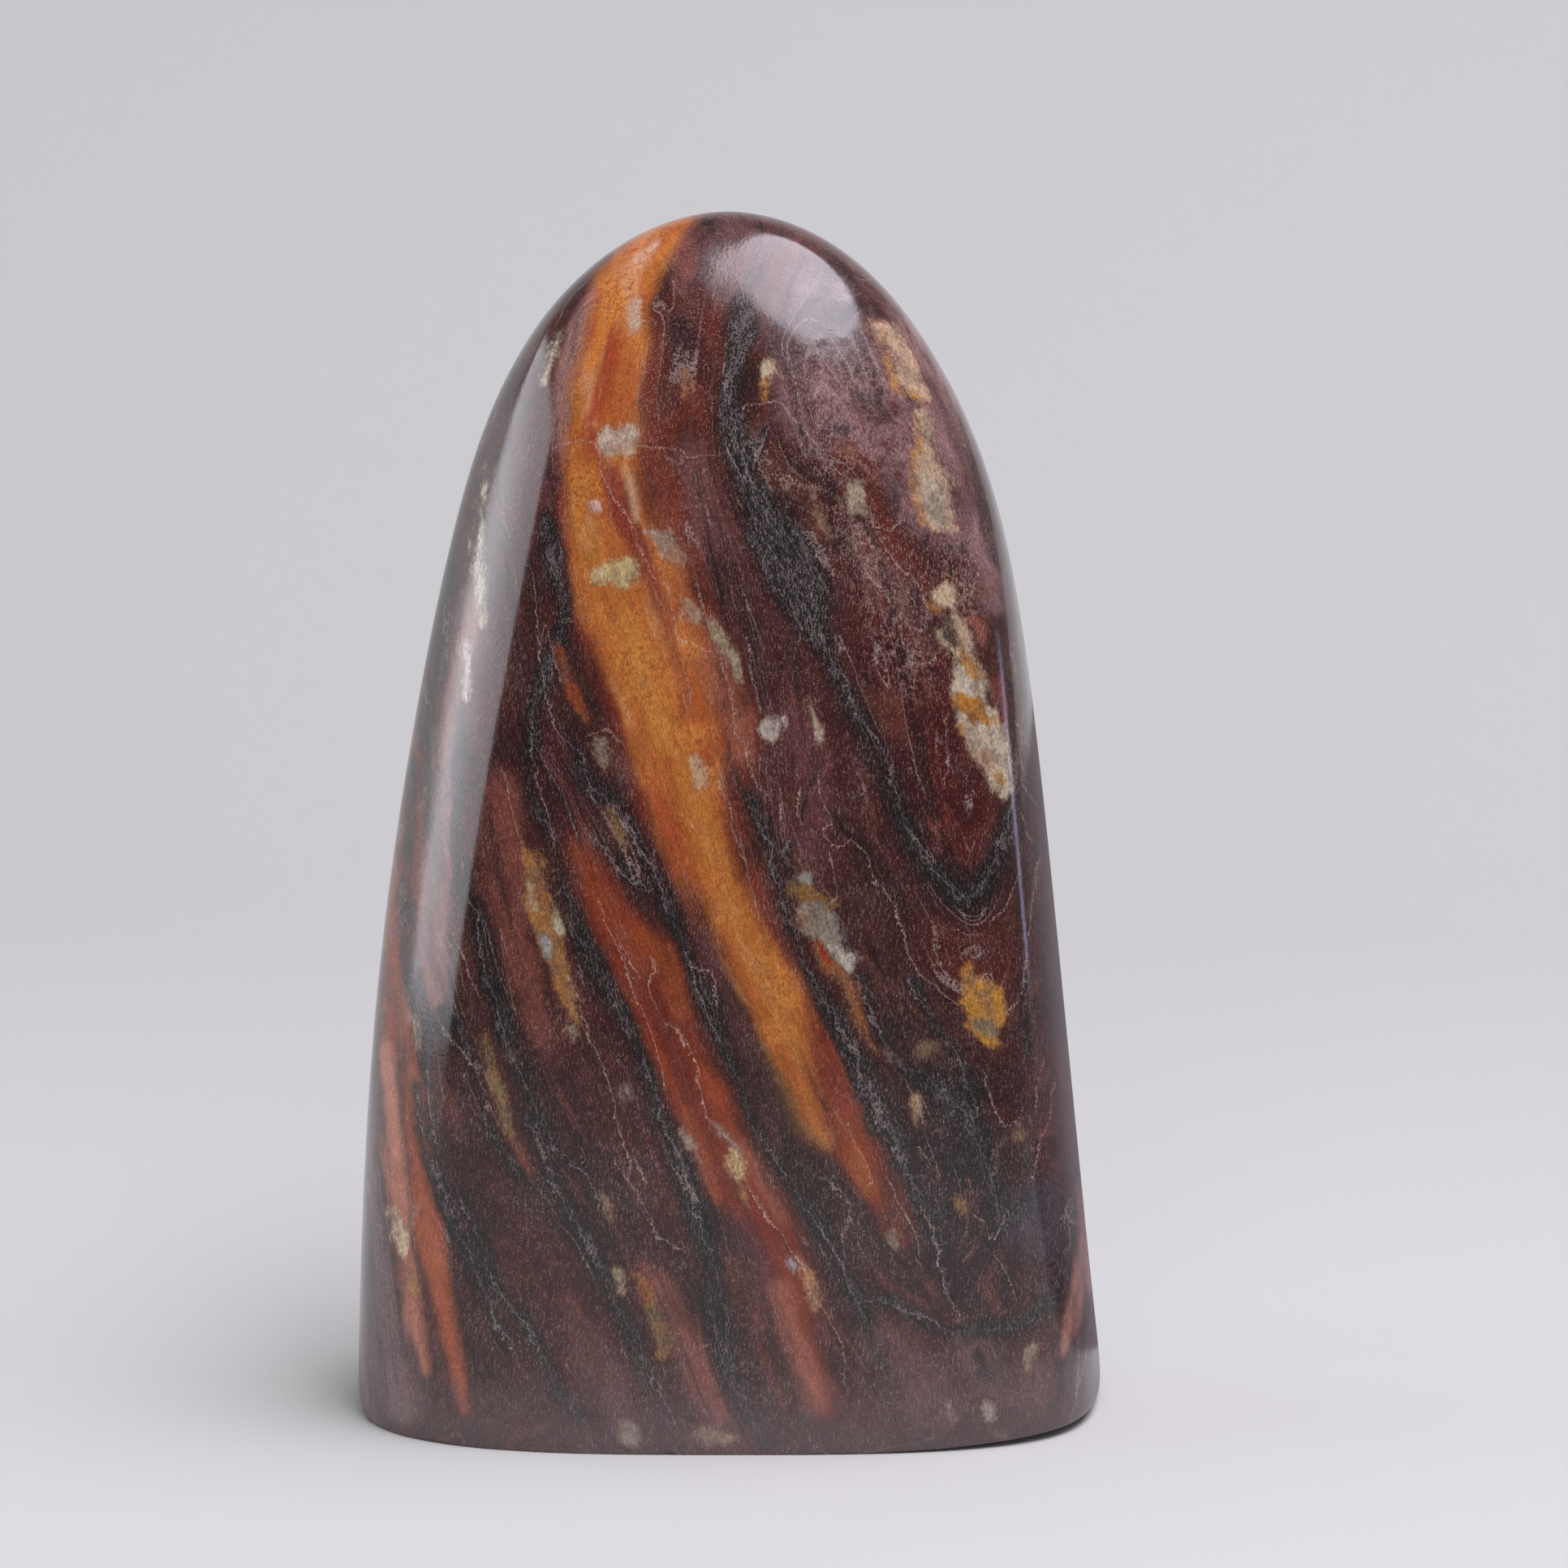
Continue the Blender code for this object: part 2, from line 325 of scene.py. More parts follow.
STAINS_AND_SHEENS = (
    # the dome and the upper right
    ("6E4C4A", 26, 0.9, [(820, 290), (930, 250), (1040, 300), (1090, 390), (1010, 440), (900, 390),
        (845, 350)]),
    # partly the rock's plum colour and partly painted reflection: this greyish wash brightens the upper
    # right below the dome, where the polish mirrors the light overhead
    ("8A6869", 40, 1.0, [(960, 410), (1060, 420), (1120, 450), (1170, 520), (1200, 620), (1185, 680),
        (1130, 650), (1070, 600), (1000, 550), (960, 500)]),
    ("664444", 26, 0.85, [(985, 465, 12), (1008, 515, 18), (1035, 560, 18), (1060, 600, 14)]),
    # painted reflection: a pale pinkish-grey band just inside the upper right edge, where the polish
    # mirrors the pale surroundings
    ("A07C7A", 40, 0.9, [(1110, 330), (1150, 420), (1190, 520), (1215, 640), (1235, 740), (1215, 740),
        (1185, 640), (1160, 560), (1130, 470), (1090, 400)]),
    ("3E2A2E", 10, 0.6, [(1040, 330, 6), (1090, 400, 7), (1140, 470, 7), (1180, 550, 8), (1215, 650, 8),
        (1240, 740, 7)]),
    # left of the big vein
    ("683026", 36, 1.0, [(800, 400), (860, 350), (890, 400), (885, 500), (890, 580), (900, 660), (880, 740),
        (830, 700), (800, 600), (785, 500)]),
    ("714846", 24, 0.8, [(850, 560, 26), (865, 620, 26), (890, 690, 22)]),
    ("41262A", 24, 0.8, [(836, 400, 16), (850, 425, 20), (862, 460, 16)]),
    # the top of the left side
    ("A8644C", 22, 1.0, [(745, 335), (800, 285), (850, 270), (835, 305), (800, 345), (765, 400), (735, 450),
        (712, 500), (700, 570), (684, 570), (690, 480), (710, 400)]),
    ("B4857C", 16, 0.95, [(762, 322, 6), (732, 362, 11), (712, 405, 16), (700, 450, 18), (691, 500, 15),
        (684, 550, 9)]),
    # painted highlight: a pale grey-lilac patch on the dome where the overhead softbox's reflection is
    # brightest, laid into the rock's colour
    ("988A8C", 50, 1.0, [(985, 340), (1025, 345), (1055, 400), (1040, 436), (1002, 410)]),
    ("5A2A28", 16, 0.9, [(790, 284, 6), (735, 335, 7), (686, 395, 8), (652, 460, 11), (622, 540, 12),
        (596, 600, 12)]),
    # red rock between the left edge of the ochre and the black
    ("7A3024", 18, 1.0, [(696, 600, 8), (697, 660, 9), (706, 720, 9), (720, 780, 9), (740, 850, 10),
        (765, 910, 10), (788, 970, 9), (800, 1020, 8)]),
    ("8A4430", 14, 0.9, [(722, 560), (752, 565), (760, 600), (800, 640), (812, 700), (790, 740), (755, 700),
        (725, 640)]),
    # the middle, right of the ochre
    ("55302F", 30, 1.0, [(880, 680), (940, 740), (960, 830), (1000, 900), (1020, 1000), (1040, 1080),
        (1000, 1100), (960, 1040), (930, 960), (905, 880), (880, 790)]),
    ("6A4042", 24, 0.8, [(985, 880, 20), (1000, 940, 22), (1010, 1000, 18), (1000, 1050, 14)]),
    ("52221E", 30, 1.0, [(1060, 700), (1110, 720), (1150, 800), (1170, 880), (1215, 960), (1225, 1010),
        (1190, 1060), (1140, 1040), (1105, 960), (1075, 860), (1045, 780)]),
    ("522620", 30, 0.9, [(1100, 1120), (1140, 1130), (1190, 1150), (1250, 1140), (1262, 1190), (1250, 1230),
        (1190, 1230), (1150, 1205), (1120, 1170)]),
    ("4A2A26", 34, 0.9, [(1040, 1080), (1090, 1110), (1120, 1190), (1150, 1240), (1180, 1290), (1150, 1300),
        (1100, 1280), (1070, 1210)]),
    ("6C4644", 26, 0.8, [(1085, 640, 18), (1110, 700, 20), (1120, 750, 18), (1140, 800, 14)]),
    ("74504A", 20, 0.8, [(1050, 660), (1085, 650), (1112, 690), (1122, 745), (1095, 765), (1060, 720)]),
    ("84402E", 12, 0.8, [(1070, 575, 5), (1080, 600, 8), (1092, 630, 9), (1100, 655, 6)]),
    ("6A2C24", 24, 0.8, [(1050, 560, 16), (1080, 620, 18), (1110, 680, 16), (1140, 720, 10)]),
    ("3A2426", 40, 1.0, [(1110, 1330), (1200, 1330), (1290, 1400), (1310, 1500), (1290, 1600), (1190, 1620),
        (1140, 1540), (1120, 1440)]),
    ("4E2422", 22, 0.9, [(1225, 1330), (1250, 1340), (1255, 1370), (1235, 1385), (1215, 1365)]),
    ("5A3634", 26, 0.9, [(1245, 1240, 12), (1270, 1300, 20), (1290, 1380, 18), (1300, 1440, 14)]),
    # the left middle and below
    ("482424", 30, 1.0, [(640, 870), (700, 880), (720, 940), (720, 1020), (690, 1060), (640, 1000),
        (620, 930)]),
    ("7E463C", 26, 1.0, [(590, 960), (640, 960), (650, 1060), (650, 1160), (680, 1220), (700, 1300),
        (660, 1290), (630, 1220), (605, 1130), (590, 1040)]),
    ("4E2826", 30, 1.0, [(700, 1160), (740, 1230), (780, 1320), (810, 1420), (850, 1500), (800, 1510),
        (740, 1450), (690, 1380), (670, 1290), (680, 1210)]),
    ("4A2022", 24, 0.8, [(800, 1020, 10), (830, 1100, 8), (860, 1140, 16), (880, 1200, 18), (910, 1270, 20),
        (935, 1330, 20), (960, 1390, 18)]),
    ("5C3A38", 24, 0.9, [(870, 1160, 14), (900, 1230, 16), (920, 1290, 16), (945, 1350, 14),
        (965, 1400, 14)]),
    ("422726", 34, 1.0, [(975, 1400), (1030, 1450), (1075, 1490), (1120, 1560), (1130, 1610), (1060, 1590),
        (1010, 1520), (980, 1460)]),
    ("55332F", 20, 0.8, [(560, 1130, 9), (572, 1200, 9), (590, 1280, 9), (600, 1340, 7)]),
    ("502A26", 34, 0.9, [(560, 1340), (600, 1380), (640, 1470), (700, 1560), (640, 1590), (590, 1560),
        (560, 1470)]),
    ("4C2726", 30, 0.9, [(640, 1480, 22), (680, 1560, 26), (720, 1640, 30), (740, 1700, 30),
        (760, 1760, 24)]),
    ("6A3E32", 26, 0.8, [(900, 1560, 14), (930, 1640, 16), (960, 1720, 16)]),
    ("6C4A4A", 30, 0.9, [(1080, 1650, 24), (1120, 1680, 30), (1150, 1730, 30)]),
    ("6E5050", 36, 0.9, [(1200, 1670, 26), (1250, 1710, 30), (1310, 1700, 26)]),
    ("2A1E20", 26, 0.45, [(560, 1330, 10), (575, 1400, 16), (590, 1460, 18), (600, 1530, 18),
        (612, 1600, 14)]),
    ("2C1F20", 30, 0.5, [(690, 1330, 10), (720, 1400, 20), (752, 1450, 20), (775, 1500, 16),
        (780, 1540, 10)]),
    ("281D20", 24, 0.5, [(700, 1480, 14), (730, 1530, 14), (760, 1590, 10)]),
    ("241B1E", 22, 0.6, [(842, 1420, 10), (852, 1460, 16), (864, 1510, 18), (874, 1560, 12)]),
    ("90564A", 22, 0.9, [(795, 1560, 8), (824, 1600, 16), (842, 1650, 18), (862, 1700, 18),
        (880, 1745, 14)]),
    ("704844", 24, 0.85, [(700, 1610, 8), (724, 1655, 22), (748, 1705, 26), (772, 1750, 22)]),
    ("4E4850", 26, 0.7, [(1240, 1475), (1290, 1455), (1318, 1490), (1304, 1550), (1262, 1545),
        (1235, 1505)]),
    ("261E22", 20, 0.8, [(1140, 1400, 10), (1180, 1440, 16), (1190, 1500, 14), (1225, 1520, 12)]),
    # the flat on the left, whose sheets stand nearly upright
    ("5C3234", 24, 1.0, [(600, 520), (640, 500), (680, 440), (690, 520), (680, 620), (640, 740), (610, 880),
        (590, 1000), (570, 1100), (540, 1240), (505, 1240), (500, 1100), (530, 900), (560, 700)]),
    ("A4716C", 12, 1.0, [(592, 700, 7), (578, 780, 9), (560, 860, 9), (548, 940, 9), (545, 1020, 8),
        (542, 1100, 8), (540, 1180, 8), (545, 1230, 6)]),
    ("8C6A5C", 10, 0.9, [(536, 900, 4), (532, 980, 5), (533, 1060, 5), (528, 1120, 4)]),
    ("A0625A", 10, 1.0, [(522, 1040, 5), (513, 1100, 7), (520, 1150, 6), (530, 1200, 6), (540, 1240, 5)]),
    ("3C3438", 14, 0.9, [(565, 880, 8), (566, 960, 9), (562, 1040, 8), (560, 1100, 5)]),
    ("453A3D", 20, 0.9, [(500, 1200, 10), (518, 1260, 16), (525, 1330, 16), (535, 1400, 12),
        (548, 1470, 12)]),
    ("A04630", 8, 1.0, [(516, 930, 5), (514, 1000, 5), (508, 1060, 5), (500, 1110, 4), (495, 1150, 2)]),
    ("A45A44", 12, 1.0, [(512, 880, 5), (498, 1010, 7), (486, 1130, 9), (479, 1240, 10), (472, 1330, 8)]),
    ("A2422A", 10, 1.0, [(490, 1100, 4), (487, 1170, 6), (486, 1240, 7), (484, 1310, 5)]),
    ("C4806A", 12, 1.0, SALMON_SHEETS[0]),
    ("A85C40", 12, 1.0, SALMON_SHEETS[1]),
    ("9A5038", 12, 0.8, [(490, 1190, 4), (498, 1250, 6), (504, 1310, 6)]),
    ("6A4844", 6, 0.7, [(483, 1300, 1), (495, 1370, 1), (503, 1450, 2), (511, 1520, 3), (522, 1590, 4),
        (534, 1650, 5), (545, 1700, 5)]),
    # painted reflection: a pale grey sheen along the lower left edge, widening to the foot, where the
    # polish mirrors the pale backdrop and floor
    ("806668", 18, 0.9, [(462, 1340, 5), (460, 1440, 10), (466, 1540, 16), (480, 1640, 22),
        (500, 1730, 26)]),
    # the rust band below the ochre
    ("783423", 32, 1.0, RUST_BAND),
    ("853E26", 16, 0.95, [(710, 1045, 6), (724, 1075, 10), (738, 1105, 13), (755, 1135, 15),
        (778, 1162, 15), (797, 1195, 12)]),
    ("8E4828", 14, 0.8, [(792, 1150, 8), (812, 1175, 12), (828, 1210, 12), (838, 1250, 10)]),
    ("622A20", 18, 0.45, [(800, 1200, 8), (812, 1240, 14), (822, 1275, 12), (840, 1315, 14),
        (852, 1350, 8)]),
    ("8A3E24", 14, 0.85, [(798, 1270, 6), (815, 1300, 9), (832, 1335, 9), (842, 1365, 9)]),
    ("8C4127", 14, 0.9, [(868, 1315, 7), (885, 1350, 11), (903, 1390, 12), (922, 1430, 10),
        (945, 1470, 10)]),
    ("964C30", 12, 0.9, [(850, 1370, 7), (858, 1400, 11), (868, 1430, 11), (874, 1460, 9),
        (882, 1480, 6)]),
    ("8E503C", 18, 0.8, [(905, 1400, 5), (928, 1435, 8), (945, 1465, 10), (962, 1500, 10)]),
    ("63383A", 26, 0.85, [(905, 1510, 14), (930, 1560, 18), (945, 1610, 14)]),
    ("A0604E", 24, 0.9, [(958, 1590, 12), (970, 1640, 16), (985, 1685, 17), (1000, 1730, 16)]),
    # the ochre band, with its red and olive borders
    ("7A3A2C", 34, 1.0, [(800, 430), (835, 460), (830, 560), (845, 650), (860, 720), (890, 770), (915, 830),
        (935, 890), (925, 960), (930, 1010), (950, 1060), (965, 1110), (975, 1160), (1000, 1210),
        (1020, 1255), (1045, 1300), (1068, 1350), (1095, 1400), (1110, 1450), (1120, 1520), (1105, 1535),
        (1085, 1480), (1050, 1460), (1010, 1400), (965, 1330), (930, 1240), (880, 1150), (830, 1060),
        (800, 960), (760, 850), (715, 720), (700, 600), (740, 460)]),
    ("A45F30", 26, 1.0, OCHRE_BAND),
    ("B5744A", 20, 0.9, [(800, 285, 10), (770, 330, 16), (755, 380, 12), (742, 430, 10), (725, 470, 10)]),
    ("BC835E", 12, 0.8, [(722, 440, 6), (726, 485, 10), (731, 530, 8)]),
    ("AC6C33", 16, 0.9, [(712, 500, 8), (712, 560, 8), (714, 620, 10), (732, 690, 16), (752, 745, 20),
        (775, 790, 20), (795, 840, 22), (818, 890, 24), (838, 940, 24), (855, 990, 20), (872, 1040, 20),
        (892, 1090, 20), (915, 1140, 18), (940, 1190, 20), (960, 1240, 20), (974, 1290, 17),
        (987, 1340, 12), (1004, 1385, 8)]),
    ("B87A3C", 12, 0.7, [(765, 760, 10), (790, 830, 10), (812, 880, 12), (832, 930, 10)]),
    ("A87440", 12, 0.4, [(930, 1180, 6), (950, 1220, 10), (968, 1260, 12), (980, 1300, 9)]),
    ("B0683A", 12, 0.9, [(778, 415, 10), (779, 450, 10), (776, 490, 9), (776, 515, 8)]),
    ("94422E", 12, 0.9, [(752, 400, 6), (755, 430, 9), (748, 465, 9), (740, 500, 8), (728, 520, 5)]),
    ("BC947C", 12, 0.9, [(812, 300, 5), (794, 322, 9), (780, 346, 10), (776, 378, 9), (780, 404, 7)]),
    ("84504A", 14, 0.9, [(862, 288, 12), (850, 318, 14), (842, 352, 10)]),
    ("BE7434", 12, 0.9, [(762, 368, 6), (748, 392, 9), (738, 420, 9), (728, 450, 7)]),
    ("8A3E2E", 10, 0.9, [(730, 530, 4), (738, 560, 7), (742, 590, 6)]),
    ("8C4230", 14, 0.9, BURNT_SEAM),
    ("B8916E", 12, 0.85, [(766, 575, 7), (778, 605, 11), (784, 635, 8)]),
    ("86362A", 8, 0.8, [(740, 566, 4), (748, 596, 6), (764, 640, 6), (776, 676, 4)]),
    ("86362A", 8, 0.9, [(782, 650, 6), (792, 675, 9), (803, 705, 7), (812, 725, 3)]),
    ("9A5A44", 18, 0.9, [(855, 780, 12), (875, 815, 18), (892, 850, 20), (906, 890, 18), (912, 930, 12)]),
    ("98502C", 12, 0.9, [(812, 690, 7), (822, 720, 8), (834, 750, 9), (850, 775, 11), (866, 790, 7)]),
    ("A2562F", 14, 0.9, [(816, 760, 8), (832, 805, 11), (846, 850, 12), (858, 900, 11), (868, 950, 8)]),
    ("84452C", 12, 0.7, [(820, 1040, 6), (845, 1092, 7), (868, 1140, 6)]),
    ("75603A", 12, 0.6, [(940, 1290, 4), (960, 1340, 8), (985, 1385, 10), (1012, 1408, 8)]),
    ("863E26", 14, 1.0, RED_TAIL),
    ("74342A", 14, 0.8, [(1010, 1275, 4), (1026, 1320, 8), (1042, 1360, 8)]),
    ("9A542A", 14, 0.85, [(1048, 1410, 5), (1060, 1438, 10), (1072, 1462, 8)]),
    ("6A342A", 18, 0.9, [(1092, 1470, 9), (1102, 1500, 8), (1108, 1525, 5)]),
    # the salmon sheet that comes out low on the right
    ("D8917A", 12, 1.0, [(1334, 1455, 2), (1333, 1500, 6), (1331, 1550, 10), (1328, 1600, 12),
        (1319, 1640, 10), (1308, 1668, 5)]),
)
# Painted shade: the ground is darkened towards the foot, most below 10 mm and fading out by 85 mm up.
DARKER_FOOT = 0.12
FOOT_SHADE = (0.01, 0.085)
ground = np.tile(rock(GROUND), (vertex_count, 1))
for colour, softness, strength, points in STAINS_AND_SHEENS:
    share = strength * smooth(depth_inside(points), -softness / 2, softness / 2)
    ground += share[:, None] * (rock(colour) - ground)
ground *= (1 - DARKER_FOOT * (1 - smooth(places[:, 2], *FOOT_SHADE)))[:, None]

# Where the ochre, the burnt seam through it, the other soaked bands and the breccia lie, for the
# material to break them up. Each edge is soft from its first depth to its second, in pixels.
OCHRE_EDGE = (-14, 14)
BURNT_EDGE = (-8, 8)
BURNT_SHARE = 0.75
SOAKED_EDGE = (-10, 16)
SOAKED_SHARE = 0.85
BRECCIA_EDGE = (-30, 30)
BRECCIA = [
    (985, 430), (1060, 430), (1130, 500), (1190, 600), (1215, 700), (1200, 790), (1160, 850), (1110, 850),
    (1060, 760), (1020, 640), (990, 560)
]
breccia = smooth(depth_inside(BRECCIA), *BRECCIA_EDGE)
ochre = smooth(depth_inside(OCHRE_BAND), *OCHRE_EDGE)
ochre *= 1 - BURNT_SHARE * smooth(depth_inside(BURNT_SEAM), *BURNT_EDGE)
clear = ochre.copy()
for points in (RUST_BAND, RED_TAIL, *SALMON_SHEETS):
    clear = np.maximum(clear, SOAKED_SHARE * smooth(depth_inside(points), *SOAKED_EDGE))

# Black veins: seams of iron ore between the sheets. Each is a run, half widths in pixels.
VEINS = (
    [(914, 372, 12), (911, 400, 19), (907, 428, 16), (902, 455, 15), (897, 485, 17), (900, 518, 19),
        (906, 550, 19), (914, 582, 17), (926, 608, 18), (942, 635, 25), (958, 662, 32), (974, 695, 36),
        (990, 735, 31), (1008, 780, 19), (1026, 820, 11), (1041, 852, 10), (1053, 880, 9), (1066, 903, 10),
        (1081, 930, 9), (1092, 960, 8), (1102, 990, 10), (1113, 1016, 12), (1129, 1045, 15),
        (1146, 1070, 16), (1166, 1092, 18), (1186, 1104, 18), (1205, 1098, 15), (1222, 1074, 12),
        (1236, 1042, 8), (1246, 1008, 6), (1250, 972, 3)],
    [(925, 578, 3), (935, 552, 3), (944, 532, 2)],
    [(672, 640, 8), (680, 680, 15), (690, 720, 12), (700, 752, 8), (690, 790, 11), (672, 830, 14),
        (662, 870, 12), (655, 920, 10), (650, 955, 6), (657, 985, 7), (667, 1010, 7), (676, 1040, 6),
        (681, 1070, 8), (691, 1100, 10), (703, 1130, 12), (714, 1157, 13), (727, 1182, 13), (740, 1207, 12),
        (753, 1232, 10), (766, 1260, 10), (779, 1286, 10), (791, 1312, 9), (804, 1346, 8), (813, 1372, 8),
        (822, 1397, 9), (831, 1422, 12), (840, 1452, 14), (850, 1482, 15), (861, 1512, 13), (872, 1538, 11),
        (881, 1562, 8), (889, 1592, 7), (896, 1622, 7), (898, 1655, 8), (904, 1692, 8), (915, 1722, 9),
        (928, 1748, 9), (946, 1778, 5)],
    [(712, 925, 7), (726, 965, 11), (750, 985, 12), (770, 1010, 9), (782, 1035, 8), (793, 1062, 9),
        (806, 1088, 11), (818, 1112, 11), (827, 1137, 11), (840, 1162, 10), (850, 1187, 10),
        (858, 1210, 13), (868, 1235, 16), (882, 1262, 13), (892, 1287, 9), (902, 1312, 9), (912, 1342, 9),
        (922, 1372, 8), (938, 1402, 8), (957, 1432, 7), (977, 1462, 7), (992, 1490, 8), (1006, 1512, 9),
        (1021, 1542, 9), (1036, 1570, 10), (1047, 1594, 11), (1060, 1618, 9), (1071, 1642, 8),
        (1086, 1672, 6), (1103, 1698, 4)],
    [(738, 1030, 3), (752, 1055, 5), (772, 1080, 7), (800, 1100, 7)],
    [(576, 1065, 4), (580, 1110, 9), (590, 1140, 11), (599, 1175, 11), (605, 1210, 14), (614, 1240, 15),
        (622, 1270, 17), (632, 1300, 15), (642, 1325, 13), (652, 1350, 11), (664, 1375, 10), (677, 1400, 9),
        (691, 1425, 8), (712, 1436, 5), (724, 1450, 4), (733, 1485, 3)],
    [(650, 1370, 5), (663, 1405, 8), (677, 1440, 8), (690, 1470, 9), (703, 1495, 10), (720, 1522, 10),
        (735, 1550, 10), (750, 1580, 10), (762, 1610, 9), (776, 1640, 9), (787, 1670, 8), (797, 1697, 7),
        (812, 1722, 6), (826, 1748, 5), (842, 1782, 3)],
    [(596, 1380, 5), (609, 1408, 9), (625, 1432, 10), (640, 1451, 7), (656, 1463, 5), (676, 1480, 4)],
    [(512, 1340, 8), (520, 1380, 11), (531, 1412, 10), (538, 1440, 10), (548, 1475, 12), (562, 1508, 11),
        (576, 1540, 9), (587, 1566, 8), (598, 1592, 9), (610, 1618, 7), (622, 1645, 6), (636, 1668, 4)],
    [(562, 1460, 8), (578, 1490, 9), (592, 1525, 7), (606, 1560, 5), (622, 1595, 4), (642, 1622, 8),
        (658, 1645, 9), (668, 1668, 9), (680, 1696, 10), (696, 1722, 9), (714, 1750, 5)],
    [(556, 1235, 5), (564, 1262, 9), (576, 1290, 9), (588, 1320, 6), (598, 1345, 3)],
    [(905, 955, 4), (918, 978, 9), (928, 1002, 10), (940, 1028, 10), (949, 1052, 10), (957, 1078, 9),
        (964, 1102, 9), (970, 1127, 9), (979, 1151, 10), (986, 1171, 9), (994, 1192, 10), (1005, 1217, 13),
        (1013, 1238, 18), (1029, 1258, 19), (1043, 1283, 16), (1054, 1308, 15), (1066, 1336, 15),
        (1080, 1362, 17), (1092, 1387, 19), (1106, 1412, 14), (1116, 1441, 10), (1129, 1471, 8),
        (1141, 1497, 8), (1151, 1527, 6), (1161, 1552, 5), (1169, 1582, 4), (1179, 1612, 3)],
    [(975, 1040, 4), (966, 1060, 4), (976, 1080, 6), (972, 1110, 5), (980, 1140, 5)],
    [(1028, 1125, 4), (1040, 1155, 4), (1052, 1190, 5), (1062, 1216, 7), (1073, 1246, 8), (1084, 1272, 8),
        (1099, 1297, 8), (1117, 1314, 10), (1137, 1327, 13), (1157, 1347, 17), (1177, 1367, 20),
        (1196, 1392, 16), (1208, 1422, 15), (1219, 1452, 15), (1226, 1482, 15), (1229, 1512, 8),
        (1248, 1498, 8), (1262, 1480, 6)],
    [(1124, 1210, 7), (1138, 1240, 7), (1152, 1270, 6), (1170, 1300, 7), (1186, 1335, 9),
        (1198, 1370, 10)],
    [(1056, 1602, 4), (1085, 1601, 6), (1108, 1608, 8), (1138, 1626, 8), (1161, 1638, 8), (1185, 1641, 9),
        (1212, 1636, 10), (1241, 1636, 11), (1266, 1629, 11), (1286, 1612, 10), (1299, 1589, 9),
        (1308, 1556, 10), (1314, 1520, 12), (1318, 1480, 9)],
    [(1148, 1472, 9), (1157, 1495, 10), (1165, 1516, 5)],
    [(563, 640, 3), (556, 700, 4), (551, 750, 5), (547, 800, 4), (540, 850, 3)],
    [(522, 840, 3), (523, 900, 4), (523, 950, 4), (521, 985, 3)],
    [(507, 930, 4), (504, 1000, 6), (502, 1050, 6), (500, 1100, 5), (497, 1150, 3)],
    [(1290, 1110, 3), (1292, 1160, 4), (1291, 1210, 4), (1286, 1260, 3)],
    [(1262, 1180, 3), (1262, 1240, 4), (1256, 1300, 3)],
    [(1206, 1668, 4), (1214, 1690, 6), (1232, 1704, 4)],
    [(874, 1590, 15), (884, 1640, 15), (898, 1690, 14), (912, 1730, 9)],
)
vein = np.full(vertex_count, -1e3)
seam_side = np.full(vertex_count, 1e3)
for points in VEINS:
    vein = np.maximum(vein, depth_inside(points))
    side = side_of([point[:2] for point in points])
    nearer = np.abs(side) < np.abs(seam_side)
    seam_side[nearer] = side[nearer]

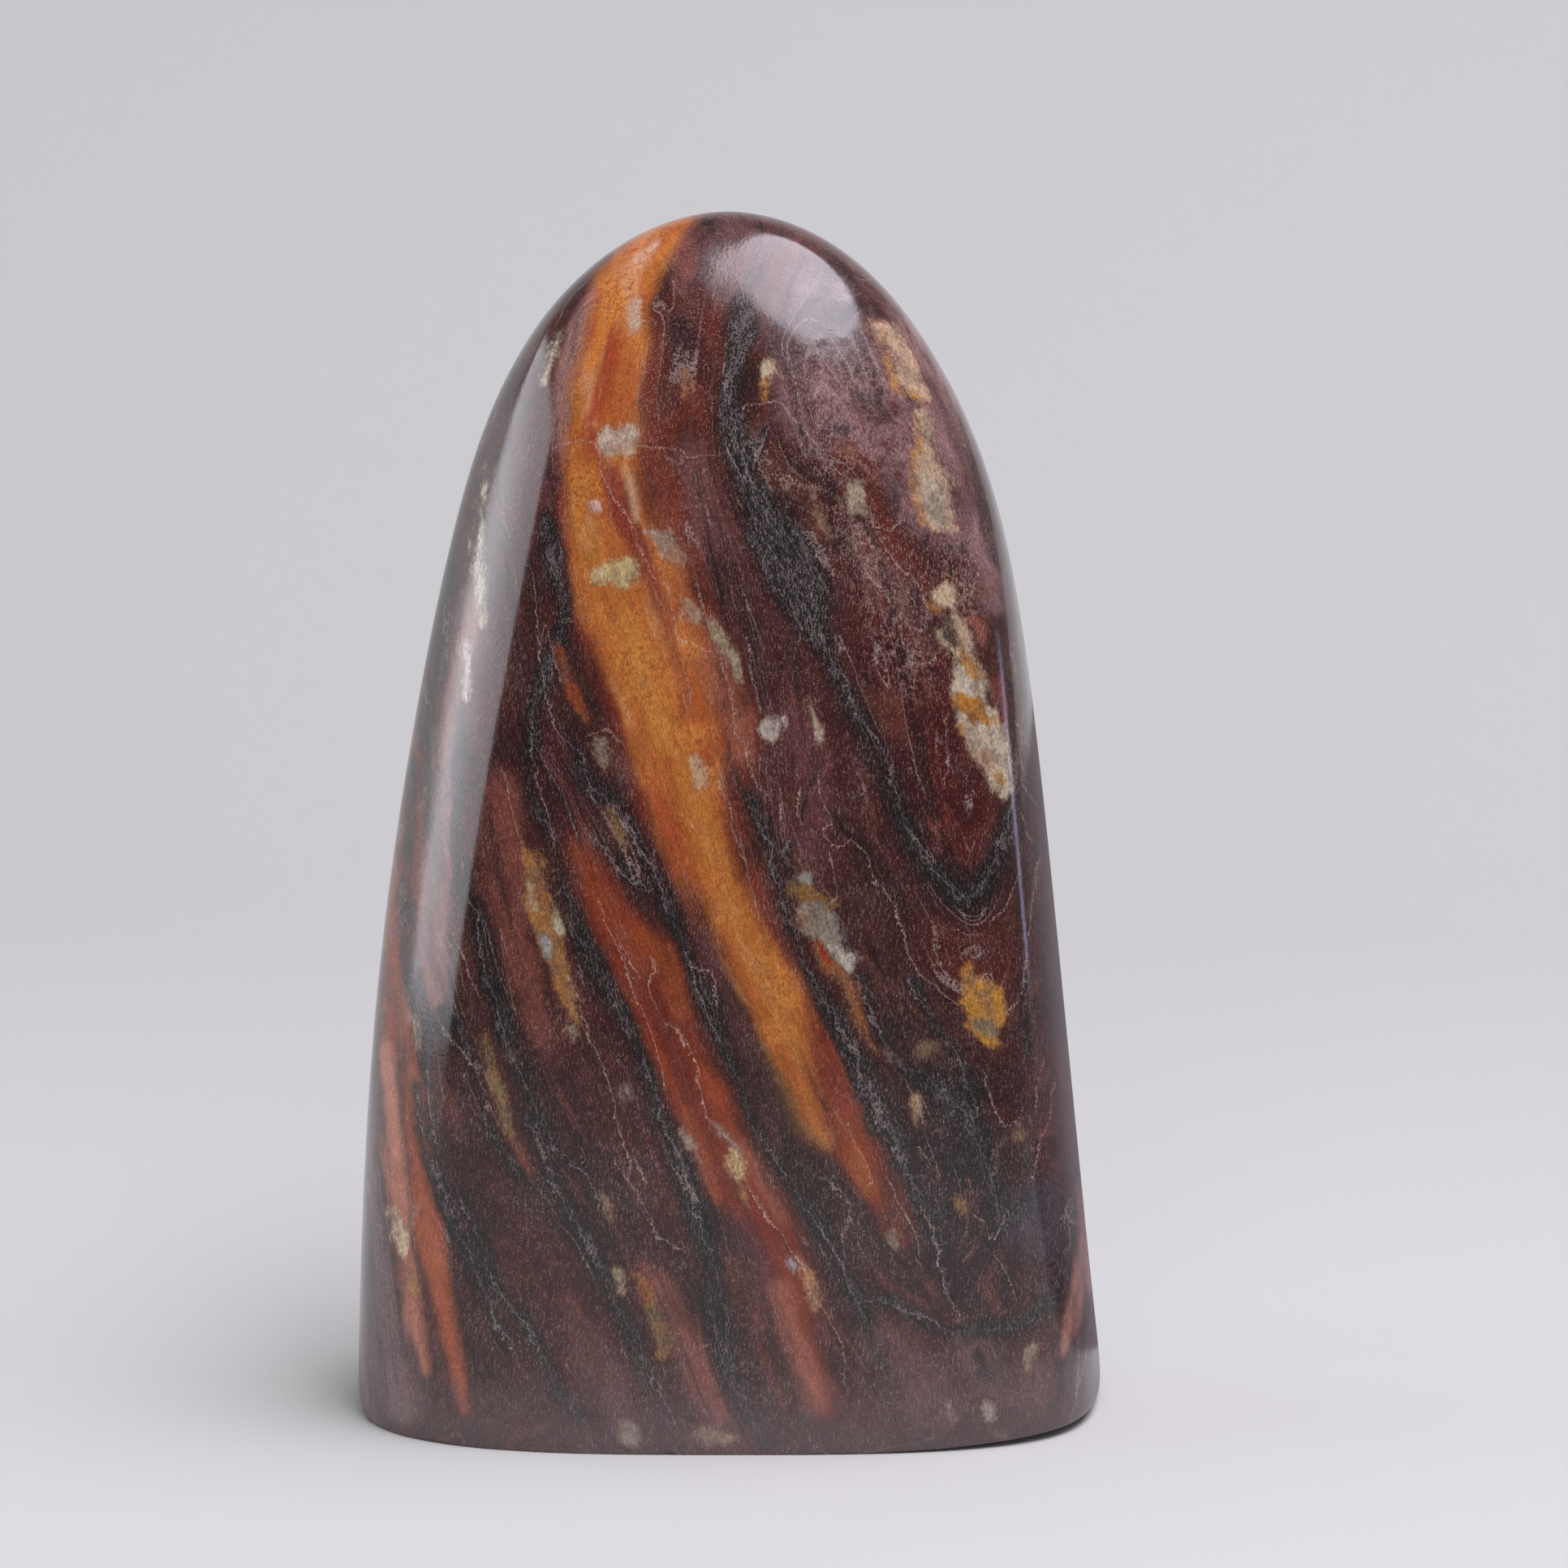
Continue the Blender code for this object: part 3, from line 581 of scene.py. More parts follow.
# Inlays: pockets of quartz, cream and ochre chalcedony with a clean edge, each with its colour.
INLAYS = (
    ("B0A090", [(738, 545), (742, 530), (760, 524), (785, 528), (787, 545), (778, 558), (755, 562),
        (740, 560)]),
    ("A8927C", [(784, 376, 7), (782, 396, 8)]),
    ("CDBFA6", [(687, 410, 3), (680, 435, 4.5), (667, 470, 3)]),
    ("C9A9A0", [(732, 623, 4), (734, 627, 4)]),
    ("A86A38", [(850, 460, 4), (850, 482, 4)]),
    ("C4B496", [(946, 444, 3), (947, 455, 6), (946, 466, 4)]),
    ("B07838", [(946, 470, 5), (945, 480, 4), (944, 488, 2)]),
    ("A8957F", [(1048, 592), (1063, 588), (1066, 608), (1062, 622), (1068, 634), (1050, 634),
        (1043, 615)]),
    ("8E6E5C", [(997, 596, 2), (1001, 606, 3), (1004, 614, 2)]),
    ("8A6A50", [(1010, 636, 4), (1018, 648, 5), (1024, 658, 3)]),
    ("8E5C44", [(1043, 556, 4), (1047, 564, 4)]),
    ("C6A68A", [(1076, 400), (1080, 415), (1095, 435), (1100, 450), (1098, 465), (1110, 480), (1115, 490),
        (1140, 490), (1135, 470), (1130, 450), (1120, 435), (1105, 415), (1100, 400)]),
    ("BCA286", [(1122, 505), (1140, 510), (1145, 530), (1150, 560), (1158, 580), (1168, 590), (1172, 610),
        (1170, 640), (1175, 655), (1142, 645), (1140, 625), (1130, 615), (1125, 600), (1128, 575),
        (1130, 550), (1125, 530)]),
    ("C0B09A", [(1142, 592, 5), (1150, 615, 9), (1156, 638, 7)]),
    ("BC8850", [(1094, 436, 2.5), (1099, 462, 4), (1108, 482, 3), (1128, 490, 4)]),
    ("B8864E", [(1124, 510, 2), (1130, 545, 3), (1127, 590, 4), (1136, 622, 3), (1144, 644, 4)]),
    ("8A4428", [(688, 800, 3), (697, 830, 6), (705, 855, 7), (717, 885, 4)]),
    ("8F7E6E", [(728, 910), (742, 912), (748, 930), (745, 945), (735, 935)]),
    ("A09082", [(802, 655, 5), (815, 660, 8), (828, 680, 9), (835, 692, 5)]),
    ("A8976C", [(730, 706), (750, 694), (779, 688), (782, 712), (768, 724), (748, 718), (733, 722)]),
    ("B0A080", [(739, 704, 4), (742, 707, 4)]),
    ("A08872", [(845, 745, 5), (855, 762, 7)]),
    ("A88A6C", [(862, 938, 7), (866, 965, 7)]),
    ("A07A50", [(793, 838, 4), (796, 842, 4)]),
    ("A8977A", [(872, 768, 5), (884, 788, 8), (896, 806, 8), (905, 824, 6), (909, 838, 3)]),
    ("BDAFA6", [(930, 896), (938, 884), (952, 880), (966, 888), (958, 904), (950, 916), (940, 906)]),
    ("AC9A88", [(991, 866, 4), (998, 885, 5), (1005, 908, 6)]),
    ("C8B494", [(1150, 728), (1172, 722), (1178, 740), (1160, 748)]),
    ("96683E", [(1146, 745, 6), (1153, 750, 6)]),
    ("45453A", [(1165, 758, 5), (1168, 775, 6), (1172, 790, 4)]),
    ("BCAA8C", [(1150, 775, 2.5), (1161, 789, 3.5), (1175, 800, 3)]),
    ("B29C80", [(1178, 757, 3), (1185, 778, 5), (1190, 800, 6)]),
    ("C6B69E", [(1182, 798), (1200, 804), (1216, 830), (1222, 860), (1230, 885), (1238, 905), (1243, 930),
        (1246, 955), (1243, 976), (1234, 985), (1222, 973), (1210, 950), (1196, 930), (1182, 910),
        (1172, 890), (1170, 860), (1176, 830)]),
    ("C08E4C", [(1188, 806, 6), (1196, 818, 7), (1206, 834, 6)]),
    ("B87C34", [(1176, 866, 9), (1190, 866, 11), (1206, 872, 12), (1220, 888, 6)]),
    ("B88A4C", [(1176, 894, 5), (1184, 908, 4)]),
    ("B89058", [(1226, 958, 6), (1232, 966, 5)]),
    ("8A5E34", [(1196, 884, 6), (1204, 888, 6)]),
    ("C2B6A2", [(1190, 838, 6), (1196, 844, 6)]),
    ("93938A", [(985, 1080), (1000, 1078), (999, 1094), (986, 1095)]),
    ("86622F", [(978, 1096, 7), (1000, 1104, 11), (1020, 1116, 9)]),
    ("8E8274", [(986, 1118), (1005, 1112), (1030, 1125), (1042, 1150), (1036, 1168), (1018, 1168),
        (1000, 1155), (986, 1142)]),
    ("BDB3A5", [(1026, 1163), (1042, 1166), (1056, 1176), (1054, 1190), (1044, 1196), (1032, 1182)]),
    ("8E5834", [(1006, 1164, 5), (1018, 1184, 7), (1036, 1198, 9), (1048, 1218, 8), (1056, 1244, 6),
        (1064, 1270, 5), (1074, 1294, 4)]),
    ("9C3A22", [(1012, 1160, 3), (1014, 1172, 3), (1022, 1184, 4)]),
    ("BA8438", [(1190, 1195), (1198, 1188), (1203, 1200), (1212, 1210), (1225, 1212), (1235, 1225),
        (1240, 1245), (1236, 1262), (1230, 1280), (1220, 1290), (1205, 1285), (1195, 1270), (1188, 1255),
        (1184, 1240), (1190, 1225), (1188, 1210)]),
    ("8E7C58", [(1206, 1262, 6), (1216, 1268, 9), (1224, 1274, 6)]),
    ("6A5648", [(1125, 1294), (1135, 1282), (1147, 1285), (1145, 1300), (1130, 1306)]),
    ("6E5C54", [(1091, 1297, 3), (1098, 1304, 3)]),
    ("86683E", [(755, 1002, 5), (760, 1020, 7), (766, 1038, 5)]),
    ("A2703E", [(643, 1035), (652, 1048), (664, 1052), (673, 1075), (680, 1100), (686, 1125), (697, 1130),
        (698, 1152), (701, 1180), (707, 1205), (713, 1235), (718, 1260), (722, 1285), (712, 1272),
        (704, 1255), (696, 1232), (688, 1210), (680, 1190), (670, 1178), (662, 1165), (656, 1145),
        (649, 1118), (646, 1090), (645, 1062)]),
    ("B4A888", [(653, 1092, 6), (658, 1118, 7)]),
    ("B4A68A", [(689, 1124, 6), (693, 1148, 7)]),
    ("A6A29C", [(671, 1156, 7), (677, 1174, 6)]),
    ("A8967C", [(706, 1266, 7), (714, 1276, 7)]),
    ("8E7048", [(592, 1275, 3), (600, 1305, 6), (608, 1332, 8), (618, 1348, 8), (625, 1372, 6),
        (632, 1395, 4)]),
    ("807C6C", [(622, 1302, 4), (631, 1304, 5)]),
    ("7A4638", [(640, 1405, 4), (648, 1425, 5), (655, 1442, 4)]),
    ("7C7066", [(766, 1340, 4), (772, 1354, 4)]),
    ("9A8A78", [(842, 1398, 6), (848, 1412, 7)]),
    ("AA966C", [(896, 1420), (907, 1414), (915, 1428), (917, 1450), (910, 1459), (901, 1448)]),
    ("7E6A5E", [(884, 1386, 4), (894, 1400, 4), (906, 1412, 4)]),
    ("8A6440", [(915, 1462, 4), (919, 1485, 4)]),
    ("8A8684", [(972, 1552, 4), (978, 1560, 4)]),
    ("A07450", [(984, 1556, 3), (996, 1583, 6), (1002, 1603, 6), (1003, 1614, 3)]),
    ("80705A", [(743, 1468, 3), (745, 1485, 5), (748, 1500, 3)]),
    ("8E8066", [(761, 1568, 5), (765, 1588, 5)]),
    ("9A5C32", [(782, 1568, 3), (792, 1585, 6), (800, 1598, 6)]),
    ("84683C", [(800, 1596, 4), (808, 1625, 6), (815, 1652, 6), (818, 1672, 4)]),
    ("A0866A", [(1130, 1354, 4), (1132, 1366, 6), (1128, 1384, 4)]),
    ("7F6C50", [(1252, 1388, 4), (1254, 1400, 4)]),
    ("7A6038", [(1185, 1483, 5), (1189, 1490, 5)]),
    ("988470", [(1262, 1665), (1272, 1655), (1282, 1650), (1280, 1668), (1275, 1682), (1262, 1688)]),
    ("9C9082", [(765, 1752), (778, 1750), (788, 1760), (795, 1778), (786, 1784), (770, 1780),
        (764, 1768)]),
    ("9A7E68", [(856, 1768), (870, 1756), (885, 1762), (900, 1769), (895, 1780), (868, 1781)]),
    ("8F8078", [(1168, 1728, 5), (1173, 1748, 5)]),
    ("988C7E", [(1217, 1736, 6), (1224, 1751, 6)]),
    ("8F8070", [(1226, 1766, 5), (1232, 1769, 5)]),
    ("8A7A6E", [(1101, 1520, 3), (1105, 1538, 6)]),
    ("C6B496", [(476, 1490), (482, 1485), (492, 1498), (500, 1510), (503, 1530), (498, 1550), (490, 1545),
        (482, 1525), (477, 1510)]),
    ("A87C50", [(505, 1566, 4), (508, 1596, 5)]),
    ("A89C88", [(506, 1252, 2.5), (510, 1273, 4), (512, 1290, 2)]),
    ("D8CDB8", [(596, 600, 2.5), (592, 640, 3.5), (590, 680, 4), (590, 720, 4), (592, 770, 2.5)]),
    ("DCC8C0", [(572, 792, 4), (573, 825, 5), (575, 858, 3)]),
    ("A04A44", [(1156, 1018, 4), (1158, 1032, 6), (1153, 1042, 4)]),
    ("8E5048", [(1197, 764, 7), (1206, 780, 7), (1213, 792, 5)]),
    ("7E3E34", [(1222, 838, 5), (1230, 866, 5), (1234, 890, 4)]),
)
INLAY_MARGIN = 16.0
FAR_INLAYS_FADE = 30
inlay = np.full(vertex_count, -1e3)
inlay_tone = np.tile(rock(INLAYS[0][0]), (vertex_count, 1))
for colour, points in INLAYS:
    depth = depth_inside(points, margin=INLAY_MARGIN)
    over = depth > np.minimum(inlay, 0)
    inlay_tone[over] = rock(colour)
    inlay = np.maximum(inlay, depth)
inlay -= FAR_INLAYS_FADE * hidden

# Healed cracks: hairlines of pale quartz that step across the sheets.
CRACKS = (
    [(690, 549), (700, 545), (737, 544)],
    [(788, 550), (805, 552), (840, 556), (850, 566), (860, 562), (875, 559)],
    [(837, 345), (834, 370), (832, 385)],
    [(915, 502), (935, 498), (950, 494), (960, 497), (972, 505), (985, 518), (997, 532), (1010, 550),
        (1030, 575), (1045, 592)],
    [(1045, 600), (1062, 622), (1070, 635), (1080, 650), (1090, 665), (1100, 680), (1108, 690),
        (1115, 700)],
    [(782, 670), (800, 700), (808, 718)],
    [(830, 775), (848, 788), (865, 800)],
    [(735, 548), (740, 575), (750, 602), (766, 628), (780, 655)],
    [(822, 700), (830, 740), (838, 775), (843, 820), (850, 862)],
    [(880, 800), (892, 830), (900, 862), (906, 890)],
    [(648, 700), (655, 730), (660, 760), (665, 790), (668, 820), (675, 850), (682, 880), (690, 900)],
    [(675, 770), (680, 800), (690, 840)],
    [(728, 905), (745, 900), (760, 915)],
    [(900, 850), (905, 900), (920, 920), (925, 950), (945, 985)],
    [(1005, 955), (1018, 990), (1022, 1008), (1020, 1025), (1028, 1038), (1040, 1041), (1052, 1036),
        (1065, 1045), (1073, 1051), (1075, 1075), (1085, 1090), (1095, 1100), (1105, 1120), (1110, 1140),
        (1118, 1160), (1125, 1180), (1133, 1198), (1150, 1215), (1165, 1230), (1176, 1237), (1184, 1238)],
    [(1240, 1246), (1250, 1235), (1257, 1222), (1262, 1200), (1268, 1180), (1272, 1160), (1277, 1130),
        (1280, 1100), (1283, 1080), (1284, 1050)],
    [(622, 950), (628, 975), (633, 1000), (640, 1025), (643, 1035)],
    [(660, 955), (668, 985), (675, 1000), (678, 1030)],
    [(703, 1200), (712, 1230), (722, 1260), (733, 1285), (742, 1305), (750, 1328), (757, 1350), (760, 1378),
        (766, 1403), (774, 1428), (777, 1445)],
    [(752, 1422), (770, 1445), (785, 1466), (795, 1485), (805, 1500), (812, 1520), (825, 1531),
        (836, 1540)],
    [(738, 1110), (745, 1140), (755, 1160), (765, 1185), (780, 1220), (795, 1250), (805, 1280), (815, 1310),
        (821, 1342)],
    [(765, 1165), (775, 1185), (785, 1200)],
    [(800, 1180), (808, 1200), (805, 1220), (810, 1240)],
    [(825, 1262), (840, 1275), (852, 1295), (862, 1315), (868, 1340), (872, 1370), (880, 1385), (895, 1400),
        (908, 1412), (915, 1432), (921, 1452), (929, 1470), (939, 1490), (949, 1508), (962, 1520),
        (971, 1536), (985, 1556), (993, 1580), (1000, 1600), (1015, 1615), (1025, 1630), (1035, 1652),
        (1038, 1680), (1040, 1705)],
    [(852, 1190), (862, 1192), (875, 1201), (882, 1220), (885, 1240)],
    [(838, 1005), (848, 1015), (853, 1022)],
    [(985, 950), (985, 975), (982, 1000), (985, 1015)],
    [(1020, 1050), (1025, 1075), (1028, 1100), (1025, 1120)],
    [(882, 955), (890, 975), (898, 990), (905, 1025), (912, 1050), (922, 1062)],
    [(1210, 1330), (1215, 1345), (1222, 1370), (1235, 1388), (1249, 1382)],
    [(1283, 1310), (1277, 1340), (1273, 1370)],
    [(1298, 1330), (1292, 1370), (1285, 1400), (1280, 1430), (1272, 1452)],
    [(1203, 1500), (1210, 1505), (1215, 1518), (1225, 1528), (1232, 1515), (1240, 1500)],
    [(1047, 1385), (1050, 1410), (1062, 1425), (1070, 1440), (1073, 1457)],
    [(1098, 1455), (1105, 1480), (1118, 1500), (1125, 1520), (1130, 1542)],
    [(1135, 1490), (1150, 1522), (1158, 1550), (1165, 1580), (1172, 1600), (1180, 1620)],
    [(1228, 1550), (1240, 1572), (1251, 1598)],
    [(528, 1320), (532, 1360), (538, 1402)],
    [(548, 1258), (560, 1280), (575, 1300), (586, 1316)],
    [(1249, 890), (1256, 904), (1264, 917)],
    [(1252, 936), (1262, 952)],
    [(1256, 958), (1267, 974), (1278, 992)],
    [(1257, 1002), (1264, 1016), (1270, 1034)],
    [(1086, 648), (1097, 655), (1108, 650), (1116, 642)],
    [(1115, 700), (1125, 706), (1133, 722), (1142, 745), (1140, 765), (1134, 778), (1126, 770)],
    [(1062, 700), (1075, 716), (1090, 728), (1100, 745)],
    [(1108, 720), (1114, 745), (1112, 770), (1117, 800), (1124, 815), (1130, 822), (1128, 838)],
    [(1124, 812), (1138, 818), (1150, 806)],
    [(1200, 655), (1196, 680), (1201, 705), (1198, 735)],
    [(1186, 660), (1190, 700), (1187, 740)],
    [(1162, 885), (1160, 905), (1164, 930), (1166, 960)],
    [(1255, 1065), (1251, 1100), (1240, 1118), (1225, 1132)],
    [(558, 1150), (567, 1178), (575, 1205), (584, 1222)],
)
FAR_CRACKS_FADE = 20
crack_side = np.full(vertex_count, 1e3)
for points in CRACKS:
    side = side_of(points)
    nearer = np.abs(side) < np.abs(crack_side)
    crack_side[nearer] = side[nearer]
crack_reach = np.abs(crack_side) + FAR_CRACKS_FADE * hidden


def keep(name, kind, values):
    """Stores values on the skin's points, for the material to read."""
    attribute = skin_mesh.attributes.new(name, kind, "POINT")
    field = "color" if kind == "FLOAT_COLOR" else "vector"
    attribute.data.foreach_set(field, np.ascontiguousarray(values, dtype=np.float32).ravel())


keep("ground", "FLOAT_COLOR", np.column_stack((ground, ochre)))
keep("inlay_tone", "FLOAT_COLOR", np.column_stack((inlay_tone, clear)))
keep("beds", "FLOAT_VECTOR", np.stack((inlay / PIXELS_A_MM, layer, breccia), axis=1))
keep("veins", "FLOAT_VECTOR", np.stack((vein, seam_side, np.abs(seam_side)), axis=1) / PIXELS_A_MM)
keep("cracks", "FLOAT_VECTOR", np.stack((crack_side, crack_reach, crack_reach), axis=1) / PIXELS_A_MM)

# Polished jasper: opaque, fine-grained quartz with a wet-looking gloss. The eye sees soft iron
# stains drawn out along the sheets, black ore seams with grey grains, chalky quartz pockets, pale
# hairline cracks and a fine pepper of grains.
material = bpy.data.materials.new("polished jasper")
material.use_nodes = True
tree = material.node_tree
shader = tree.nodes["Principled BSDF"]


def add(kind, *inputs, **settings):
    """Adds a node, sets or links its inputs in order, and gives back its first output."""
    made = tree.nodes.new("ShaderNode" + kind)
    for name, value in settings.items():
        setattr(made, name, value)
    for socket, value in zip([socket for socket in made.inputs if socket.enabled], inputs):
        if isinstance(value, bpy.types.NodeSocket):
            tree.links.new(value, socket)
        else:
            socket.default_value = value
    return next(socket for socket in made.outputs if socket.enabled)


def paint(colour):
    """A tone of the stone as a colour socket takes it."""
    return (*rock(colour), 1.0)


stain_and_sheen_tone = add("Attribute", attribute_name="ground")
in_ochre = stain_and_sheen_tone.node.outputs["Alpha"]
pocket_tone = add("Attribute", attribute_name="inlay_tone")
in_clear = pocket_tone.node.outputs["Alpha"]
beds = add("Attribute", attribute_name="beds")
pocket_depth, layer_mm, in_breccia = add("SeparateXYZ", beds).node.outputs
veins = add("Attribute", attribute_name="veins")
ore_depth, seam_side_mm, seam_away = add("SeparateXYZ", veins).node.outputs
cracks = add("Attribute", attribute_name="cracks")
crack_offset, crack_away, _ = add("SeparateXYZ", cracks).node.outputs
in_mm = add("VectorMath", add("TexCoord").node.outputs["Object"], 1000.0, operation="SCALE")
_, deep_mm, height_mm = add("SeparateXYZ", in_mm).node.outputs
along_sheets = add("CombineXYZ", layer_mm, height_mm, deep_mm)

# The last polish leaves a ripple of a few thousandths of a millimetre, in metres here.
RELIEF = 0.000006

# The grain of the rock. Each pattern is its grain in millimetres and its fineness: those of the
# sheets are so wide and so long along them, and the rest are so wide, so deep and so tall. The
# quartz itself is finer than the eye sees, so salt and lint are drawn at 0.13 mm, where they show.
GRAIN_COARSENESS = 0.62
GRAINS_APART = 7.3
GRAINS = {
    "bands": (along_sheets, (2.2, 26.0, 26.0), 3.0),
    "streaks": (along_sheets, (0.9, 11.0, 11.0), 4.0),
    "tongues": (along_sheets, (3.4, 13.0, 13.0), 4.0),
    "hairs": (along_sheets, (1.7, 30.0, 30.0), 1.0),
    "threads": (along_sheets, (0.17, 3.2, 3.2), 3.0),
    "patches": (in_mm, (5.5, 5.5, 7.0), 4.0),
    "clouds": (in_mm, (1.8, 1.8, 2.2), 4.0),
    "grains": (in_mm, (0.34, 0.34, 0.42), 2.0),
    "salt": (in_mm, (0.13, 0.13, 0.22), 1.0),
    "lint": (in_mm, (0.13, 0.13, 0.9), 1.0),
}
grain = {}
for number, (name, (frame_of, size, fineness)) in enumerate(GRAINS.items()):
    scale = [1 / millimetres for millimetres in size]
    shift = [GRAINS_APART * number] * 3
    where = add("VectorMath", frame_of, scale, shift, operation="MULTIPLY_ADD")
    grain[name] = add("TexNoise", where, 1.0, fineness, GRAIN_COARSENESS)

# the stains, and how they break up: smoky bands and dark and red streaks along the sheets, calmer
# where the iron has soaked right in; ochre in burnt red, glowing orange and pale buff; and the
# breccia on the right, in red and dark clasts. Each tint is where its grain starts to show it, where
# it shows most, how strong it is there, what keeps it in its place, and its colour.
calm = add("MapRange", in_clear, 0.0, 1.0, 1.0, 0.2)
TINTS = (
    ("bands", 0.56, 0.32, 0.62, calm, "291A1B"),
    ("patches", 0.52, 0.30, 0.55, calm, "2B1E1F"),
    ("streaks", 0.48, 0.28, 0.60, calm, "2A1C1E"),
    ("streaks", 0.52, 0.72, 0.42, calm, "7E4A3E"),
    ("patches", 0.50, 0.70, 0.10, 1.0, "806C6A"),
    ("tongues", 0.50, 0.66, 0.75, in_ochre, "93452A"),
    ("clouds", 0.54, 0.66, 0.55, in_ochre, "8E4429"),
    ("patches", 0.47, 0.62, 0.55, in_ochre, "BE7C38"),
    ("tongues", 0.46, 0.32, 0.55, in_ochre, "B9895C"),
    ("clouds", 0.52, 0.62, 0.62, in_breccia, "5A2A26"),
    ("clouds", 0.46, 0.36, 0.45, in_breccia, "3E2A2C"),
)
body = stain_and_sheen_tone
for source, start, full, most, place, colour in TINTS:
    share = add("MapRange", grain[source], start, full, 0.0, most, interpolation_type="SMOOTHSTEP")
    share = add("Math", share, place, operation="MULTIPLY")
    body = add("Mix", share, body, paint(colour), data_type="RGBA")

# a fine web, burnt red through the ochre and pale through the breccia
web = add("Math", add("Math", grain["clouds"], 0.5, operation="SUBTRACT"), operation="ABSOLUTE")
web = add("MapRange", web, 0.035, 0.0, interpolation_type="SMOOTHSTEP")
WEBS = (
    ("patches", 0.44, 0.58, 0.0, 0.62, in_ochre, "823824"),
    ("tongues", 0.42, 0.58, 0.05, 0.44, in_breccia, "B4948A"),
)
for source, start, full, least, most, place, colour in WEBS:
    share = add("MapRange", grain[source], start, full, least, most, interpolation_type="SMOOTHSTEP")
    share = add("Math", add("Math", web, share, operation="MULTIPLY"), place, operation="MULTIPLY")
    body = add("Mix", share, body, paint(colour), data_type="RGBA")

# ore: a soft dark halo about each vein, a core of grey grains, and a broken pale seam along it
fray = add("Math", grain["streaks"], 2.6, -1.3, operation="MULTIPLY_ADD")
fray = add("Math", grain["clouds"], 2.4, fray, operation="MULTIPLY_ADD")
frayed = add("Math", add("Math", ore_depth, fray, operation="ADD"), 1.68, operation="SUBTRACT")
halo = add("MapRange", frayed, -1.25, 0.3, 0.0, 0.92, interpolation_type="SMOOTHSTEP")
body = add("Mix", halo, body, paint("1F181B"), data_type="RGBA")
core = add("MapRange", frayed, -0.30, 0.55, interpolation_type="SMOOTHSTEP")
core = add("Math", core, add("MapRange", height_mm, 55.0, 112.0, 0.34, 1.3), operation="MULTIPLY")
sandy = add("Math", grain["threads"], 0.46, operation="MULTIPLY")
sandy = add("Math", grain["salt"], 0.34, sandy, operation="MULTIPLY_ADD")
sandy = add("Math", grain["lint"], 0.40, sandy, operation="MULTIPLY_ADD")
sandy = add("MapRange", sandy, 0.54, 0.74, 0.05, 0.72, interpolation_type="SMOOTHSTEP")
body = add("Mix", add("Math", sandy, core, operation="MULTIPLY"), body, paint("746A6A"), data_type="RGBA")
hair = add("MapRange", grain["threads"], 0.58, 0.68, 0.0, 0.28, interpolation_type="SMOOTHSTEP")
hair = add("Math", hair, halo, operation="MULTIPLY")
body = add("Mix", hair, body, paint("625254"), data_type="RGBA")
shake = add("Math", grain["clouds"], 3.0, -1.5, operation="MULTIPLY_ADD")
shake = add("Math", grain["grains"], 0.9, shake, operation="MULTIPLY_ADD")
seam = add("Math", add("Math", seam_side_mm, shake, operation="ADD"), 0.45, operation="SUBTRACT")
seam = add("MapRange", add("Math", seam, operation="ABSOLUTE"), 0.12, 0.02, interpolation_type="SMOOTHSTEP")
near = add("MapRange", seam_away, 1.7, 0.9)
seam = add("Math", seam, near, operation="MULTIPLY")
broken = add("MapRange", grain["tongues"], 0.42, 0.56, 0.15, 0.82, interpolation_type="SMOOTHSTEP")
body = add("Mix", add("Math", seam, broken, operation="MULTIPLY"), body, paint("8A7C7E"), data_type="RGBA")

# hairlines of pale quartz that keep to the sheets: each follows one value of a pattern drawn out
# along them, and comes and goes
fading = add("MapRange", grain["tongues"], 0.48, 0.60, 0.0, 0.60, interpolation_type="SMOOTHSTEP")
fading = add("Math", fading, add("MapRange", calm, 0.2, 1.0, 0.10, 1.0), operation="MULTIPLY")
line = add("Math", grain["grains"], 0.07, grain["hairs"], operation="MULTIPLY_ADD")
line = add("Math", add("Math", line, 5.0, operation="MULTIPLY"), 0.5, operation="PINGPONG")
line = add("MapRange", line, 0.042, 0.006, interpolation_type="SMOOTHSTEP")
body = add("Mix", add("Math", line, fading, operation="MULTIPLY"), body, paint("AE9A92"), data_type="RGBA")

# pockets: sugary quartz, clear and stained by turns, that runs out into the rock along the sheets
ragged = add("Math", grain["clouds"], 1.5, -0.75, operation="MULTIPLY_ADD")
ragged = add("Math", grain["streaks"], 1.4, ragged, operation="MULTIPLY_ADD")
ragged = add("Math", grain["grains"], 0.9, ragged, operation="MULTIPLY_ADD")
ragged = add("Math", add("Math", pocket_depth, ragged, operation="ADD"), 1.25, operation="SUBTRACT")
rim = add("MapRange", ragged, -1.3, -0.2, 0.0, 0.14, interpolation_type="SMOOTHSTEP")
body = add("Mix", rim, body, paint("7A4430"), data_type="RGBA")
chalk = add("MapRange", grain["clouds"], 0.56, 0.38, 0.0, 0.50, interpolation_type="SMOOTHSTEP")
chalk = add("Mix", chalk, pocket_tone, paint("75655A"), data_type="RGBA")
stained = add("MapRange", grain["patches"], 0.54, 0.66, 0.0, 0.45, interpolation_type="SMOOTHSTEP")
chalk = add("Mix", stained, chalk, paint("9A6236"), data_type="RGBA")
inside = add("MapRange", ragged, -0.55, 0.40, interpolation_type="SMOOTHSTEP")
sugar = add("MapRange", grain["grains"], 0.38, 0.56, 0.74, 0.97)
body = add("Mix", add("Math", inside, sugar, operation="MULTIPLY"), body, chalk, data_type="RGBA")

